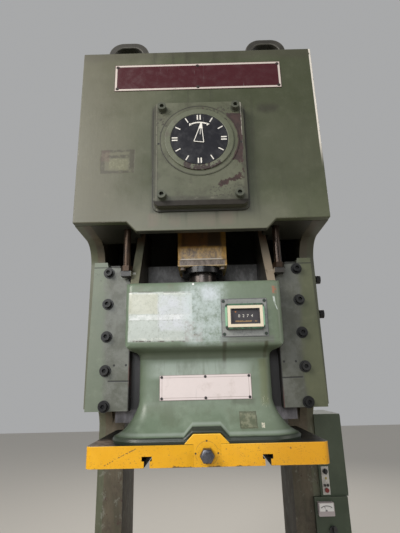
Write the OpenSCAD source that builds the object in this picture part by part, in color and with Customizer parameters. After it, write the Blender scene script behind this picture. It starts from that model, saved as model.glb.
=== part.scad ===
// Single-crank gap-frame stamping press, millimetres, +Z up, front at -Y.
// The origin lies on the floor, at the centre of the four anchor holes.

/* [Frame] */
// Width over the two side frames
frame_w = 1200; // [1000:10:1500]
// Thickness of a side frame plate
cheek_t = 75; // [50:5:95]
// Depth of the side frames from front edge to back edge
frame_depth = 1388; // [1300:10:1700]
// Height of the crown top above the floor
crown_top_z = 3435; // [3400:5:3700]
// Height of the crown underside above the floor
crown_under_z = 2469; // [2440:1:2490]
// Thickness of the crown front plate
front_t = 40; // [25:1:60]
// Distance from the slide axis to the crown front face
crown_front_y = 278; // [274:1:320]
// Distance from the slide axis back to the throat
throat_y = 398; // [340:1:460]
// Height where the throat ends under the guides
throat_top_z = 1632; // [1600:1:1660]
// Radius in the throat corners
throat_r = 120; // [60:5:150]
// Depth of the box stiffener along the throat
column_depth = 300; // [200:10:400]
// Width of the upright face seen from the front
column_w = 140; // [110:5:160]
// Thickness of webs and closing plates
web_t = 40; // [25:1:50]

/* [Bed] */
// Height of the bed top above the floor
bed_z = 700; // [600:10:760]
// Thickness of the bed top plate
bed_t = 60; // [40:5:100]
// Width of the bolster
bolster_w = 1040; // [900:10:1044]
// Depth of the bolster
bolster_d = 620; // [500:10:680]
// Thickness of the bolster
bolster_t = 150; // [120:5:180]
// Diameter of the drop hole in the bolster
drop_d = 150; // [80:5:200]
// Width of a base rail
rail_w = 160; // [130:5:200]
// Thickness of a base rail
rail_t = 40; // [30:1:60]
// Diameter of an anchor hole
anchor_d = 36; // [26:1:45]
// Distance from a rail end to its anchor hole
anchor_end = 110; // [80:5:160]
// How far a base rail runs out past the frame at each end
rail_over = 52; // [20:1:100]

/* [Slide] */
// Width of the slide flange
flange_w = 960; // [860:10:1040]
// Depth of the slide flange
flange_d = 580; // [560:5:600]
// Thickness of the slide flange
flange_t = 83; // [70:1:90]
// Height of the flange underside at top dead centre
flange_z = 1430; // [1410:1:1440]
// Corner radius of the flange
flange_r = 25; // [10:1:40]
// Width of the slide waist
waist_w = 584; // [540:2:600]
// Width of the slide head box
head_w = 690; // [670:2:720]
// Height of the slide head box top
head_top_z = 2180; // [2160:1:2190]
// Height of the slide head box underside
head_bottom_z = 1890; // [1870:1:1910]
// Corner radius of the head box
head_r = 30; // [15:1:40]
// How far the foot of the waist sweeps out
flare_w = 108; // [60:1:108]
// How high the sweep climbs
flare_h = 138; // [100:1:138]
// Corner radius of the waist
waist_r = 40; // [25:1:60]
// Distance between the two T-slots
slot_pitch = 474; // [400:2:520]
// Width of a T-slot neck
slot_neck = 23; // [18:1:28]
// Width of a T-slot head
slot_head = 40; // [34:1:46]
// Height of a T-slot neck
slot_neck_h = 25; // [20:1:30]
// Height of a T-slot head
slot_head_h = 17; // [14:1:20]
// Diameter of the shank hole
shank_d = 50; // [38:1:65]
// Depth of the shank hole
shank_depth = 70; // [50:1:75]

/* [Drive] */
// Stroke of the slide
stroke = 180; // [120:5:180]
// Height of the crank axis
crank_z = 2862; // [2850:1:2880]
// Diameter of the crank pin
pin_d = 170; // [140:2:180]
// Diameter of the crank discs
disc_d = 400; // [380:5:420]
// Thickness of a crank disc
disc_t = 58; // [40:1:60]
// Diameter of the crankshaft
shaft_d = 180; // [150:2:190]
// Width of the connecting rod along the shaft
rod_t = 176; // [150:2:180]
// Width of the connecting rod block
rod_w = 244; // [220:2:250]
// Height of the underside of the rod block at top dead centre
rod_z = 2300; // [2290:1:2320]
// Diameter of the adjusting screw
screw_d = 140; // [110:2:160]
// Gear module
gear_m = 10; // [10:1:10]
// Teeth on the main gear
gear_n = 84; // [84:14:84]
// Teeth on the pinion
pinion_n = 14; // [14:1:14]
// Width of the gears
gear_w = 120; // [80:5:140]
// Diameter of the flywheel
wheel_d = 900; // [760:10:940]
// Width of the flywheel rim
wheel_w = 120; // [110:2:130]
// Diameter of the motor pulley
pulley_d = 180; // [160:5:220]
// Number of belts
belt_n = 4; // [3:1:4]
// Diameter of the pinion shaft
pinion_shaft_d = 90; // [80:2:96]

/* [Guides] */
// Distance from the slide axis to the front of a gib plate
gib_front_y = 142; // [138:1:146]
// Thickness of a gib plate
gib_t = 60; // [50:1:62]
// Distance from the centre to the inner edge of a gib plate
gib_in = 342; // [340:1:345]
// Distance from the centre to the outer edge of a gib plate
gib_out = 535; // [527:1:550]
// Height of the top of the gib plates
gib_top_z = 2315; // [2300:1:2340]
// Distance from the centre to the gib bolts
gib_bolt_x = 450; // [440:1:470]
// Pitch of the gib bolts
gib_pitch = 152; // [140:1:156]
// Height of the lowest gib bolt
gib_bolt_z = 1653; // [1650:1:1670]
// Width of a slide way beside the slide wall
way_x = 410; // [395:1:415]

/* [Dial and plates] */
// Width of the dial cover
cover_w = 458; // [440:2:480]
// Height of the dial cover
cover_h = 574; // [560:2:590]
// Height of the dial cover centre
cover_z = 2799; // [2790:1:2810]
// Thickness of the cover flange
cover_t = 10; // [8:1:14]
// Height of the raised panel on the cover
panel_t = 40; // [30:1:50]
// Outer diameter of the dial bezel
bezel_d = 332; // [320:2:350]
// Diameter of the dial face
dial_d = 274; // [260:2:290]
// Width of the plate on the crown
crown_plate_w = 860; // [700:10:900]
// Height of the plate on the crown
crown_plate_h = 160; // [120:5:180]
// Width of the plate on the slide
slide_plate_w = 400; // [300:5:440]
// Height of the plate on the slide
slide_plate_h = 105; // [80:1:115]

/* [Cabinet] */
// Depth of the cabinet front to back
cab_d = 315; // [280:5:400]
// How far the cabinet stands out from the side frame
cab_out = 145; // [120:1:180]
// Height of the cabinet underside
cab_z = 1150; // [1140:1:1200]
// Height of the cabinet
cab_h = 410; // [380:5:450]
// Sheet thickness of the cabinet
cab_t = 3; // [2:0.5:4]
// Height of the lower box
box_h = 299; // [260:1:320]
// How far the lower box stands out from the side frame
box_out = 136; // [110:1:170]

/* [Lugs] */
// Width of a lifting lug
lug_w = 218; // [200:2:260]
// Height of a lug above the crown top
lug_h = 110; // [104:1:140]
// Width of the rim round the eye of a lug
lug_rim = 32; // [24:1:40]
// Thickness of a lug
lug_t = 70; // [50:1:90]
// Distance from the centre to a lug
lug_x = 371; // [300:1:400]

/* [Hidden] */
$fn = 96;
// Running clearance on a shaft, a pin and a screw
run_gap = 0.05;
// Clearance between sliding flats and between curved faces that move
way_gap = 0.3;
// Overlap used where a cut runs past a face
cut = 2;
half_w = frame_w / 2;
in_x = half_w - cheek_t;
edge_y = crown_front_y - front_t;
back_y = frame_depth - edge_y;
rail_len = frame_depth + front_t + 2 * rail_over;
rail_y0 = -crown_front_y - rail_over;
slide_y = rail_y0 + rail_len / 2;
anchor_x = half_w + rail_w / 2 - 20;
col_x = half_w - column_w;
side_edge_y = 67;
side_edge_r = 110;
bolster_z = bed_z + bolster_t;
gib_back_y = gib_front_y - gib_t;
way_back_y = 62;
rear_lip = 50;
wall_x = gib_in - 4;
wall_t = 40;
head_front_y = 262;
head_back_y = gib_front_y + 8;
waist_front_y = 178;
slide_back_y = 240;
slide_z = flange_z + flange_t;
lip_h = 20;
way_low_drop = 52;
way_high_drop = 55;
way_low_z = throat_top_z - way_low_drop;
way_high_z = gib_top_z - way_high_drop;
wall_top_z = head_top_z + 380;
wall_low_y = 200;
pocket_rim = 60;
clamp_run = 50;
bolt_reach = 62;
wall_low_z = head_top_z + 6;
wall_slope = 0.62;
rear_wall_y = 120;
rear_wall_h = 185;
screw_seat_z = head_top_z - 120;
screw_top_z = rod_z + 220;
adjust_up = 30;
ball_d = screw_d - 4;
pin_z = crank_z + stroke / 2;
web_gap = 3;
disc_y = rod_t / 2 + web_gap;
pin_len = 2 * disc_y - 2;
rod_ring_d = pin_d + 120;
clamp_t = 32;
nut_d = 208;
nut_t = 30;
bear_w = 60;
gear_y = throat_y + web_t + 62;
gear_wall_y = gear_y + gear_w + 80;
pitch_r = gear_m * gear_n / 2;
pinion_r = gear_m * pinion_n / 2;
pinion_z = crank_z - pitch_r - pinion_r;
press_angle = 25;
backlash = 1;
wheel_y = back_y + 40;
groove_d = 14;
groove_pitch = 26;
motor_d = 320;
base_t = 30;
motor_foot_h = 180;
motor_z = crown_top_z + base_t + motor_foot_h;
motor_len = 460;
motor_shaft_d = 42;
motor_foot_x = 130;
motor_foot_w = 90;
motor_cowl = 70;
base_w = 420;
base_l = 410;
guard_gap = 50;
guard_t = 4;
guard_y0 = back_y;
guard_y1 = wheel_y + wheel_w + 100;
rod_x = 360;
rod_y = 175;
balance_rod_d = 34;
balance_cyl_d = 90;
under_t = 20;
under_y = 20;
under_in = 312;
under_notch_x = 345;
under_notch_y = 60;
ear_out = 22;
ear_t = 24;
ear_low = 52;
ear_y = 155;
bolt_d = 24;
washer_d = 52;
washer_t = 4;
head_d = 36;
head_h = 22;
dial_z = crank_z;
boss_t = 4;
boss_d = 380;
bezel_t = 8;
cover_bolt_x = 178;
cover_bolt_z = 234;
cover_bolt_up = 4;
cover_bolt_d = 24;
cover_head_d = 40;
plate_t = 3;
rivet_d = 12;
crown_plate_drop = 162;
crown_plate_z = crown_top_z - crown_plate_drop;
slide_plate_z = 1726;
counter_x = 177;
counter_z = 2014;
counter_w = 202;
counter_h = 166;
cab_front_y = throat_y - 13;
box_front_y = cab_front_y - 15;
strip_x = half_w + 32;
strip_w = 39;
strip_h = 137;
strip_z = 1226;
meter_x = half_w + 12;
meter_z = 1099;
box_in = 40;
knob_x = half_w + 42;
knob_z = meter_z - 100;

// Moves a shape from slide-axis coordinates to the frame of the part
module place() { translate([0, -slide_y, 0]) children(); }

// Mirrors a right-hand shape to the left for side -1
module sided(side) {
  if (side < 0) mirror([1, 0, 0]) children();
  else children();
}

// Extrudes an outline drawn in X and Z from y0 to y1
module along_y(y0, y1) {
  translate([0, y1, 0]) rotate([90, 0, 0]) linear_extrude(y1 - y0) children();
}

// Extrudes an outline drawn in Y and Z from x0 to x1
module along_x(x0, x1) {
  translate([x0, 0, 0]) rotate([90, 0, 90]) linear_extrude(x1 - x0) children();
}

// A box from its low corner to its high corner
module box(a, b) { translate(a) cube(b - a); }

// A rectangle with round corners, centred
module rounded(w, h, r) {
  square([w - 2 * r, h], center = true);
  square([w, h - 2 * r], center = true);
  for (x = [-1, 1], y = [-1, 1])
    translate([x * (w / 2 - r), y * (h / 2 - r)]) circle(r);
}

// A round bar along Y
module bar_y(x, z, d, y0, y1) {
  translate([x, y1, z]) rotate([90, 0, 0]) cylinder(h = y1 - y0, d = d);
}

// A socket-head bolt with its washer, head towards -Y, face at y
module socket_bolt(x, z, y, d, grip, wd, wt, hd, hh) {
  difference() {
    union() {
      bar_y(x, z, d, y - cut / 2, y + grip);
      bar_y(x, z, wd, y - wt, y);
      bar_y(x, z, hd, y - wt - hh, y - wt);
    }
    translate([x, y - wt - hh / 3, z]) rotate([90, 0, 0])
      cylinder(h = hh, d = hd * 0.55, $fn = 6);
  }
}

// Side frames: one C-shaped plate each with a box stiffener along the throat
module cheek_outline() {
  difference() {
    translate([-edge_y, rail_t])
      square([frame_depth, crown_top_z - rail_t]);
    // The open space in front of the guides
    translate([-edge_y - cut, throat_top_z - cut])
      square([edge_y + side_edge_y + cut - side_edge_r,
              crown_under_z - throat_top_z + cut]);
    translate([-edge_y - cut, throat_top_z - cut])
      square([edge_y + side_edge_y + cut,
              crown_under_z - throat_top_z + cut - side_edge_r]);
    translate([side_edge_y - side_edge_r, crown_under_z - side_edge_r])
      circle(side_edge_r);
    // The throat
    translate([-edge_y - cut, bed_z])
      square([edge_y + throat_y + cut - throat_r, throat_top_z - bed_z]);
    translate([-edge_y - cut, bed_z + throat_r])
      square([edge_y + throat_y + cut, throat_top_z - bed_z - 2 * throat_r]);
    for (z = [bed_z + throat_r, throat_top_z - throat_r])
      translate([throat_y - throat_r, z]) circle(throat_r);
  }
}
module side_frame() {
  along_x(in_x, half_w) cheek_outline();
  difference() {
    box([col_x, throat_y, rail_t], [in_x, throat_y + column_depth, throat_top_z]);
    box([col_x - cut, throat_y - cut, 0],
        [in_x, throat_y + column_depth + cut, bed_z]);
  }
}
module side_frame_left() { color("darkseagreen") place() sided(-1) side_frame(); }
module side_frame_right() { color("darkseagreen") place() sided(1) side_frame(); }

// Crown front plate with its skirt and the front crank bearing
skirt_z = crown_under_z - 48;
skirt_top_x = 348;
skirt_low_x = 302;
module crown_front() {
  color("seagreen") place() difference() {
    union() {
      along_y(-crown_front_y, -edge_y) polygon([
        [-half_w, crown_under_z], [-skirt_top_x, crown_under_z],
        [-skirt_low_x, skirt_z], [skirt_low_x, skirt_z],
        [skirt_top_x, crown_under_z], [half_w, crown_under_z],
        [half_w, crown_top_z], [-half_w, crown_top_z]]);
      bar_y(0, crank_z, shaft_d + 90, -edge_y - cut, -disc_y - disc_t - 5);
    }
    bar_y(0, crank_z, shaft_d - 20 + 2 * run_gap, -crown_front_y - cut, 0);
  }
}
module crown_top() {
  color("seagreen") place()
    box([-in_x, -edge_y, crown_top_z - web_t], [in_x, back_y, crown_top_z]);
}
module under_plate(side) {
  sided(side) difference() {
    box([under_in, -edge_y, crown_under_z],
        [in_x, under_y, crown_under_z + under_t]);
    // Clear of the slide's side wall
    box([under_in - cut, -under_notch_y, crown_under_z - cut],
        [under_notch_x, under_y + cut, crown_under_z + under_t + cut]);
    translate([rod_x, -rod_y, crown_under_z - cut])
      cylinder(h = under_t + 2 * cut, d = balance_rod_d + 2 * way_gap);
  }
}
module crown_under() {
  color("darkgreen") place() {
    under_plate(-1);
    under_plate(1);
  }
}

// Walls behind the slide, beside the gear and at the back
module wall(y0, z0, shafts) {
  difference() {
    union() {
      box([-in_x, y0, z0], [in_x, y0 + web_t, crown_top_z - web_t]);
      for (s = shafts) bar_y(0, s[0], s[1] + 80, y0 - 15, y0 + web_t + 15);
    }
    for (s = shafts)
      bar_y(0, s[0], s[1] + 2 * run_gap, y0 - 20, y0 + web_t + 20);
  }
}
module throat_web() {
  seat_y = throat_y + web_t / 2;
  color("olivedrab") place() difference() {
    union() {
      wall(throat_y, throat_top_z, [[crank_z, shaft_d]]);
      bar_y(0, pinion_z, pinion_shaft_d + 80, throat_y + web_t, throat_y + web_t + 15);
    }
    bar_y(0, pinion_z, pinion_shaft_d + 2 * run_gap, seat_y, throat_y + web_t + 20);
  }
}
module gear_wall() {
  color("olivedrab") place() wall(gear_wall_y, throat_top_z + under_t,
    [[crank_z, shaft_d], [pinion_z, pinion_shaft_d]]);
}
module back_plate() {
  color("olivedrab") place() difference() {
    union() {
      box([-in_x, back_y - web_t, throat_top_z],
          [in_x, back_y, crown_top_z - web_t]);
      bar_y(0, pinion_z, pinion_shaft_d + 80, back_y - web_t - 20, back_y + 15);
    }
    bar_y(0, pinion_z, pinion_shaft_d + 2 * run_gap,
      back_y - web_t - 30, back_y + 20);
  }
}
module case_floor() {
  color("olivedrab") place()
    box([-in_x, throat_y + web_t, throat_top_z],
        [in_x, back_y - web_t, throat_top_z + under_t]);
}

// Bed, base rails and bolster
bed_hole = 320;
module bed_front() {
  color("seagreen") place()
    box([-half_w, -crown_front_y, rail_t], [half_w, -edge_y, bed_z]);
}
module bed_top() {
  color("seagreen") place() difference() {
    box([-in_x, -edge_y, bed_z - bed_t], [in_x, throat_y + column_depth, bed_z]);
    translate([-bed_hole / 2, -bed_hole / 2, bed_z - bed_t - cut])
      cube([bed_hole, bed_hole, bed_t + 2 * cut]);
  }
}
module bed_rear() {
  color("seagreen") place()
    box([-in_x, back_y - web_t, rail_t], [in_x, back_y, bed_z]);
}
module base_rails() {
  color("dimgray") place() for (side = [-1, 1]) sided(side) difference() {
    box([anchor_x - rail_w / 2, rail_y0, 0],
        [anchor_x + rail_w / 2, rail_y0 + rail_len, rail_t]);
    for (y = [rail_y0 + anchor_end, rail_y0 + rail_len - anchor_end])
      translate([anchor_x, y, -cut]) cylinder(h = rail_t + 2 * cut, d = anchor_d);
  }
}

// A T-slot outline standing on z = 0 with the mouth below
module tslot() {
  translate([-slot_neck / 2, -cut]) square([slot_neck, slot_neck_h + 2 * cut]);
  translate([-slot_head / 2, slot_neck_h]) square([slot_head, slot_head_h]);
}
module bolster() {
  color("silver") place() difference() {
    box([-bolster_w / 2, -bolster_d / 2, bed_z],
        [bolster_w / 2, bolster_d / 2, bolster_z]);
    for (x = [-slot_pitch / 2, slot_pitch / 2])
      along_y(-bolster_d / 2 - cut, bolster_d / 2 + cut)
        translate([x, bolster_z]) mirror([0, 1]) tslot();
    translate([0, 0, bed_z - cut]) cylinder(h = bolster_t + 2 * cut, d = drop_d);
  }
}

// Guides: a fixed L-shaped block each and a bolted front gib plate
module guide(side) {
  place() sided(side) difference() {
    translate([0, 0, throat_top_z]) linear_extrude(gib_top_z - throat_top_z)
      polygon([
        [way_x + way_gap, -gib_back_y], [gib_out, -gib_back_y],
        [gib_out, side_edge_y], [in_x, side_edge_y],
        [in_x, side_edge_y + 130], [in_x - cheek_t, side_edge_y + 130],
        [in_x - cheek_t, way_back_y + rear_lip],
        [wall_x + 8, way_back_y + rear_lip], [wall_x + 8, way_back_y],
        [way_x + way_gap, way_back_y]]);
    for (i = [0 : 4])
      bar_y(gib_bolt_x, gib_bolt_z + i * gib_pitch, bolt_d + 2 * way_gap,
        -gib_back_y - cut, -gib_back_y + bolt_reach);
  }
}
module guide_left() { color("darkkhaki") guide(-1); }
module guide_right() { color("darkkhaki") guide(1); }
module gib(side) {
  place() sided(side) difference() {
    along_y(-gib_front_y, -gib_back_y) polygon([
      [gib_in, throat_top_z], [gib_out, throat_top_z],
      [gib_out - 12, gib_top_z], [gib_out - 75, gib_top_z],
      [gib_out - 80, gib_top_z - 25], [gib_in + 50, gib_top_z - 29],
      [gib_in + 20, gib_top_z - 70], [gib_in, gib_top_z - 115]]);
    for (i = [0 : 4])
      bar_y(gib_bolt_x, gib_bolt_z + i * gib_pitch, bolt_d + 2 * way_gap,
        -gib_front_y - cut, -gib_back_y + cut);
  }
}
module gib_left() { color("beige") gib(-1); }
module gib_right() { color("beige") gib(1); }
module gib_bolts() {
  color("dimgray") place() for (side = [-1, 1], i = [0 : 4])
    socket_bolt(side * gib_bolt_x, gib_bolt_z + i * gib_pitch, -gib_front_y,
      bolt_d, gib_t + 60, washer_d, washer_t, head_d, head_h);
}

// Lifting lugs on the crown: arches with round shoulders
module arch(w, h, r) {
  translate([-w / 2, 0]) square([w, h - r]);
  translate([-w / 2 + r, 0]) square([w - 2 * r, h]);
  for (x = [-1, 1]) intersection() {
    translate([x * (w / 2 - r), h - r]) circle(r);
    translate([-w / 2, 0]) square([w, h]);
  }
}
lug_y = 165;
lug_r = 80;
module lugs() {
  color("seagreen") place() for (side = [-1, 1]) sided(side)
    along_y(-lug_y - lug_t, -lug_y) translate([lug_x, crown_top_z]) difference() {
      arch(lug_w, lug_h, lug_r);
      translate([0, -cut])
        arch(lug_w - 2 * lug_rim, lug_h - lug_rim + cut, lug_r - lug_rim + 8);
    }
}

// Counterbalance cylinders in the crown and their rods on the slide
balance_len = 560;
balance_piston = 300;
balance_top_z = crown_under_z + balance_len;
balance_bore = 60;
module balance_cylinders() {
  color("gray") place() for (side = [-1, 1]) sided(side)
    translate([rod_x, -rod_y, crown_under_z + under_t]) difference() {
      cylinder(h = balance_top_z - crown_under_z - under_t, d = balance_cyl_d);
      translate([0, 0, -cut])
        cylinder(h = balance_top_z - crown_under_z - under_t - 20, d = balance_bore);
    }
}
module balance_rods() {
  low_z = head_top_z + ear_low + ear_t;
  color("rosybrown") place() for (side = [-1, 1]) sided(side)
    translate([rod_x, -rod_y, 0]) {
      translate([0, 0, low_z]) cylinder(h = crown_under_z + balance_piston + 60 - low_z,
        d = balance_rod_d);
      translate([0, 0, low_z]) cylinder(h = 26, d = 56, $fn = 6);
      translate([0, 0, crown_under_z + balance_piston]) cylinder(h = 60,
        d = balance_bore - 2 * way_gap);
    }
}

// Dial: cover plate, raised panel, bezel, face and the pointer on the crank
cover_y = -crown_front_y;
panel_y = -crown_front_y - cover_t;
bezel_y = panel_y - panel_t;
hub_d = 40;
pointer_d = 24;
pointer_end_y = -crown_front_y + 45;
module dial_cover() {
  color("seagreen") place() difference() {
    union() {
      along_y(panel_y, cover_y) translate([0, cover_z]) rounded(cover_w, cover_h, 36);
      along_y(bezel_y, panel_y) translate([0, cover_z])
        rounded(cover_w - 22, cover_h - 22, 28);
      bar_y(0, dial_z, boss_d, bezel_y - boss_t, bezel_y + cut);
    }
    bar_y(0, dial_z, hub_d, bezel_y - boss_t - cut, cover_y + cut);
    for (x = [-1, 1], z = [-1, 1])
      bar_y(x * cover_bolt_x, cover_z + cover_bolt_up + z * cover_bolt_z,
        cover_bolt_d + 2 * way_gap, bezel_y - cut, cover_y + cut);
  }
}
module dial_cover_bolts() {
  color("dimgray") place() for (x = [-1, 1], z = [-1, 1])
    socket_bolt(x * cover_bolt_x, cover_z + cover_bolt_up + z * cover_bolt_z,
      bezel_y, cover_bolt_d, cover_t + panel_t, cover_head_d + 6, washer_t,
      cover_head_d, 27);
}
face_y = bezel_y - boss_t;
module dial_bezel() {
  color("gray") place() difference() {
    bar_y(0, dial_z, bezel_d, face_y - bezel_t, face_y);
    bar_y(0, dial_z, dial_d, face_y - bezel_t - cut, face_y + cut);
  }
}
module dial_face() {
  color("black") place() difference() {
    bar_y(0, dial_z, dial_d - 2 * run_gap, face_y - bezel_t + 1, face_y);
    bar_y(0, dial_z, hub_d, face_y - bezel_t - cut, face_y + cut);
  }
}
// The hand stands a few degrees late, as in the photograph at the top of the stroke
pointer_lag = 7.5;
pointer_half = 26;
pointer_tip = 87;
pointer_tail = 22;
module pointer() {
  y0 = face_y - bezel_t - 1;
  color("white") place() translate([0, 0, dial_z]) {
    bar_y(0, 0, pointer_d, y0, pointer_end_y);
    along_y(y0 - 3, y0) rotate(-pointer_lag) polygon([
      [-pointer_half, -pointer_tail], [pointer_half, -pointer_tail],
      [3, pointer_tip], [-3, pointer_tip]]);
  }
}

// Plate on the crown and plate on the slide, each with its fixings
module plate(w, h, y, z, fix_x, fix_z, d) {
  along_y(y - plate_t, y) translate([0, z]) square([w, h], center = true);
  for (x = fix_x, k = [-1, 1])
    bar_y(x, z + k * fix_z, d, y - plate_t - 3, y - plate_t + 1);
}
module crown_plate() {
  color("maroon") place()
    plate(crown_plate_w, crown_plate_h, -crown_front_y, crown_plate_z,
      [-crown_plate_w / 2 + 14, 0, crown_plate_w / 2 - 14],
      crown_plate_h / 2 - 14, rivet_d);
}
module slide_plate() {
  color("linen") place()
    plate(slide_plate_w, slide_plate_h, -waist_front_y, slide_plate_z,
      [-slide_plate_w / 2 + 9, 0, slide_plate_w / 2 - 9],
      slide_plate_h / 2 - 8, 9);
}

// Crankshaft: journals and full round discs that face the crank pin
module crankshaft() {
  back = gear_wall_y + web_t + 15;
  color("slategray") place() difference() {
    union() {
      bar_y(0, crank_z, shaft_d - 20, -crown_front_y + 5, -disc_y - disc_t + cut);
      bar_y(0, crank_z, disc_d, -disc_y - disc_t, -disc_y);
      bar_y(0, crank_z, disc_d, disc_y, disc_y + disc_t);
      bar_y(0, crank_z, shaft_d, disc_y + disc_t - cut, back);
    }
    bar_y(0, crank_z, pointer_d + 2 * run_gap, -crown_front_y, pointer_end_y + 4);
  }
}

// Spur gear outline with involute flanks
function involute(a) = tan(a) * 180 / PI - a;
function polar(r, a) = [r * cos(a), r * sin(a)];
function half_tooth(r, n) =
  let (p = gear_m * n / 2, b = p * cos(press_angle))
  (PI * gear_m / 2 - backlash) / (2 * p) * 180 / PI + involute(press_angle)
  - (r > b ? involute(acos(b / r)) : 0);
function tooth(i, n, radii) = concat(
  [for (r = radii) polar(r, i * 360 / n - half_tooth(r, n))],
  [for (k = [len(radii) - 1 : -1 : 0])
    polar(radii[k], i * 360 / n + half_tooth(radii[k], n))]);
function gear_points(n, radii) =
  [for (i = [0 : n - 1]) each tooth(i, n, radii)];
module main_gear() {
  color("darkslategray") place() translate([0, 0, crank_z]) difference() {
    along_y(gear_y, gear_y + gear_w) polygon(gear_points(gear_n,
      [for (k = [-1.25, -0.5, 0.25, 1]) pitch_r + k * gear_m]));
    bar_y(0, 0, shaft_d + 2 * run_gap, gear_y - cut, gear_y + gear_w + cut);
    for (y = [gear_y - cut, gear_y + gear_w - gear_w / 4])
      difference() {
        bar_y(0, 0, 2 * pitch_r - 110, y, y + gear_w / 4 + cut);
        bar_y(0, 0, shaft_d + 120, y - cut, y + gear_w);
      }
    for (a = [0 : 60 : 300]) rotate([0, a, 0])
      bar_y(pitch_r * 0.6, 0, 110, gear_y - cut, gear_y + gear_w + cut);
  }
}

// Connecting rod with its big end, clamp plate and lock nut
module connecting_rod() {
  color("goldenrod") place() difference() {
    union() {
      bar_y(0, pin_z, rod_ring_d, -rod_t / 2, rod_t / 2);
      along_y(-rod_t / 2, rod_t / 2) polygon([
        [-rod_w / 2, rod_z + clamp_t], [rod_w / 2, rod_z + clamp_t],
        [rod_w / 2, rod_z + 250], [screw_d / 2 + 30, rod_z + 320],
        [screw_d / 2 + 20, pin_z], [-screw_d / 2 - 20, pin_z],
        [-screw_d / 2 - 30, rod_z + 320], [-rod_w / 2, rod_z + 250]]);
    }
    bar_y(0, pin_z, pin_d, -rod_t / 2 - cut, rod_t / 2 + cut);
    translate([0, 0, rod_z + clamp_t - cut])
      cylinder(h = screw_top_z + adjust_up + 10 - rod_z - clamp_t,
        d = screw_d + 2 * run_gap);
  }
}
module crank_pin() {
  color("silver") place() bar_y(0, pin_z, pin_d, -pin_len / 2, pin_len / 2);
}
module rod_clamp() {
  color("gold") place() difference() {
    union() {
      box([-rod_w / 2, -rod_t / 2 - 8, rod_z], [rod_w / 2, rod_t / 2 + 8, rod_z + clamp_t]);
      for (x = [-1, 1], y = [-1, 1])
        translate([x * (rod_w / 2 - 22), y * (rod_t / 2 - 20), rod_z - 14])
          cylinder(h = 15, d = 30, $fn = 6);
    }
    translate([0, 0, rod_z - 20])
      cylinder(h = clamp_t + 40, d = screw_d + 2 * run_gap);
  }
}
module lock_nut() {
  color("dimgray") place() translate([0, 0, rod_z - nut_t]) difference() {
    cylinder(h = nut_t, d = nut_d);
    translate([0, 0, -cut]) cylinder(h = nut_t + 2 * cut, d = screw_d + 2 * run_gap);
  }
}
module adjusting_screw() {
  color("lightgray") place() {
    translate([0, 0, screw_seat_z]) cylinder(h = screw_top_z - screw_seat_z,
      d = screw_d);
    translate([0, 0, screw_seat_z]) sphere(d = ball_d);
  }
}

// Slide casting: head box, waist with a swept foot, ways and side walls
flare_p = 1.5;
function flare_x(k) = flare_w * (1 - pow(1 - pow(k, flare_p), 1 / flare_p));
flare_low_z = slide_z + lip_h;
flare_steps = 12;
flare_pts = concat(
  [for (i = [0 : flare_steps]) let (k = sin(90 * i / flare_steps))
    [flare_x(k), flare_low_z + flare_h * (1 - k)]],
  [[flare_w + 3, slide_z + lip_h / 2], [flare_w, slide_z],
   [-waist_r + 1, slide_z], [-waist_r + 1, flare_low_z + flare_h]]);
module flare_half() {
  // Front, from the centre to the corner
  translate([0, -waist_front_y, 0]) rotate([90, 0, 90])
    linear_extrude(waist_w / 2 - waist_r) mirror([1, 0]) polygon(flare_pts);
  // Corner
  translate([waist_w / 2 - waist_r, -waist_front_y + waist_r, 0])
    rotate([0, 0, -90]) rotate_extrude(angle = 90)
      translate([waist_r, 0]) polygon(flare_pts);
  // Side
  translate([waist_w / 2, slide_back_y, 0]) rotate([90, 0, 0])
    linear_extrude(slide_back_y + waist_front_y - waist_r) polygon(flare_pts);
}
module head_box() {
  intersection() {
    along_y(-head_front_y - cut, -gib_back_y) translate([0, (head_bottom_z + head_top_z + 60) / 2])
      rounded(head_w, head_top_z + 60 - head_bottom_z, head_r);
    translate([0, 0, head_bottom_z]) linear_extrude(head_top_z - head_bottom_z)
      translate([0, -head_front_y + 200]) rounded(head_w, 400, head_r);
    along_x(-head_w, head_w)
      translate([-head_front_y + 200, (head_bottom_z + head_top_z) / 2])
        rounded(400, head_top_z - head_bottom_z, head_r * 0.8);
    box([-head_w, -head_front_y - cut, head_bottom_z], [head_w, -head_back_y, head_top_z]);
  }
  box([-wall_x, -head_back_y, head_bottom_z], [wall_x, -gib_back_y, head_top_z]);
}
module side_wall() {
  along_x(wall_x - wall_t, wall_x) polygon([
    [-wall_low_y, head_top_z - cut], [-wall_low_y, wall_low_z],
    [-wall_low_y + wall_slope * (wall_top_z - wall_low_z), wall_top_z],
    [slide_back_y, wall_top_z], [slide_back_y, head_top_z - cut]]);
}
module slide_half() {
  flare_half();
  box([0, -waist_front_y + waist_r, slide_z], [waist_w / 2, -gib_back_y, head_bottom_z + 1]);
  box([0, -waist_front_y, slide_z], [waist_w / 2 - waist_r, -gib_back_y, head_bottom_z + 1]);
  translate([waist_w / 2 - waist_r, -waist_front_y + waist_r, slide_z])
    cylinder(h = head_bottom_z + 1 - slide_z, r = waist_r);
  box([0, -gib_back_y, slide_z], [waist_w / 2, slide_back_y, head_top_z]);
  box([0, -gib_back_y, way_low_z], [wall_x, slide_back_y, head_top_z]);
  // Way beside the wall
  box([wall_x - 1, -gib_back_y + way_gap, way_low_z],
      [way_x, way_back_y - way_gap, way_high_z]);
  box([wall_x - wall_t, -gib_back_y + way_gap, head_top_z - cut],
      [wall_x, way_back_y - way_gap, way_high_z]);
  side_wall();
  // Ear for the counterbalance rod, clear of the gib plate
  translate([0, 0, head_top_z + ear_low]) {
    box([wall_x - wall_t / 2, -rod_y + 12, 0], [wall_x, -ear_y + 40, ear_t]);
    box([wall_x - cut, -rod_y - 20, 0], [rod_x + ear_out, -ear_y, ear_t]);
  }
}
clamp_top_x = 54;
clamp_base_x = 88;
clamp_top_z = slide_z + 37;
clamp_y = 75;
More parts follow.
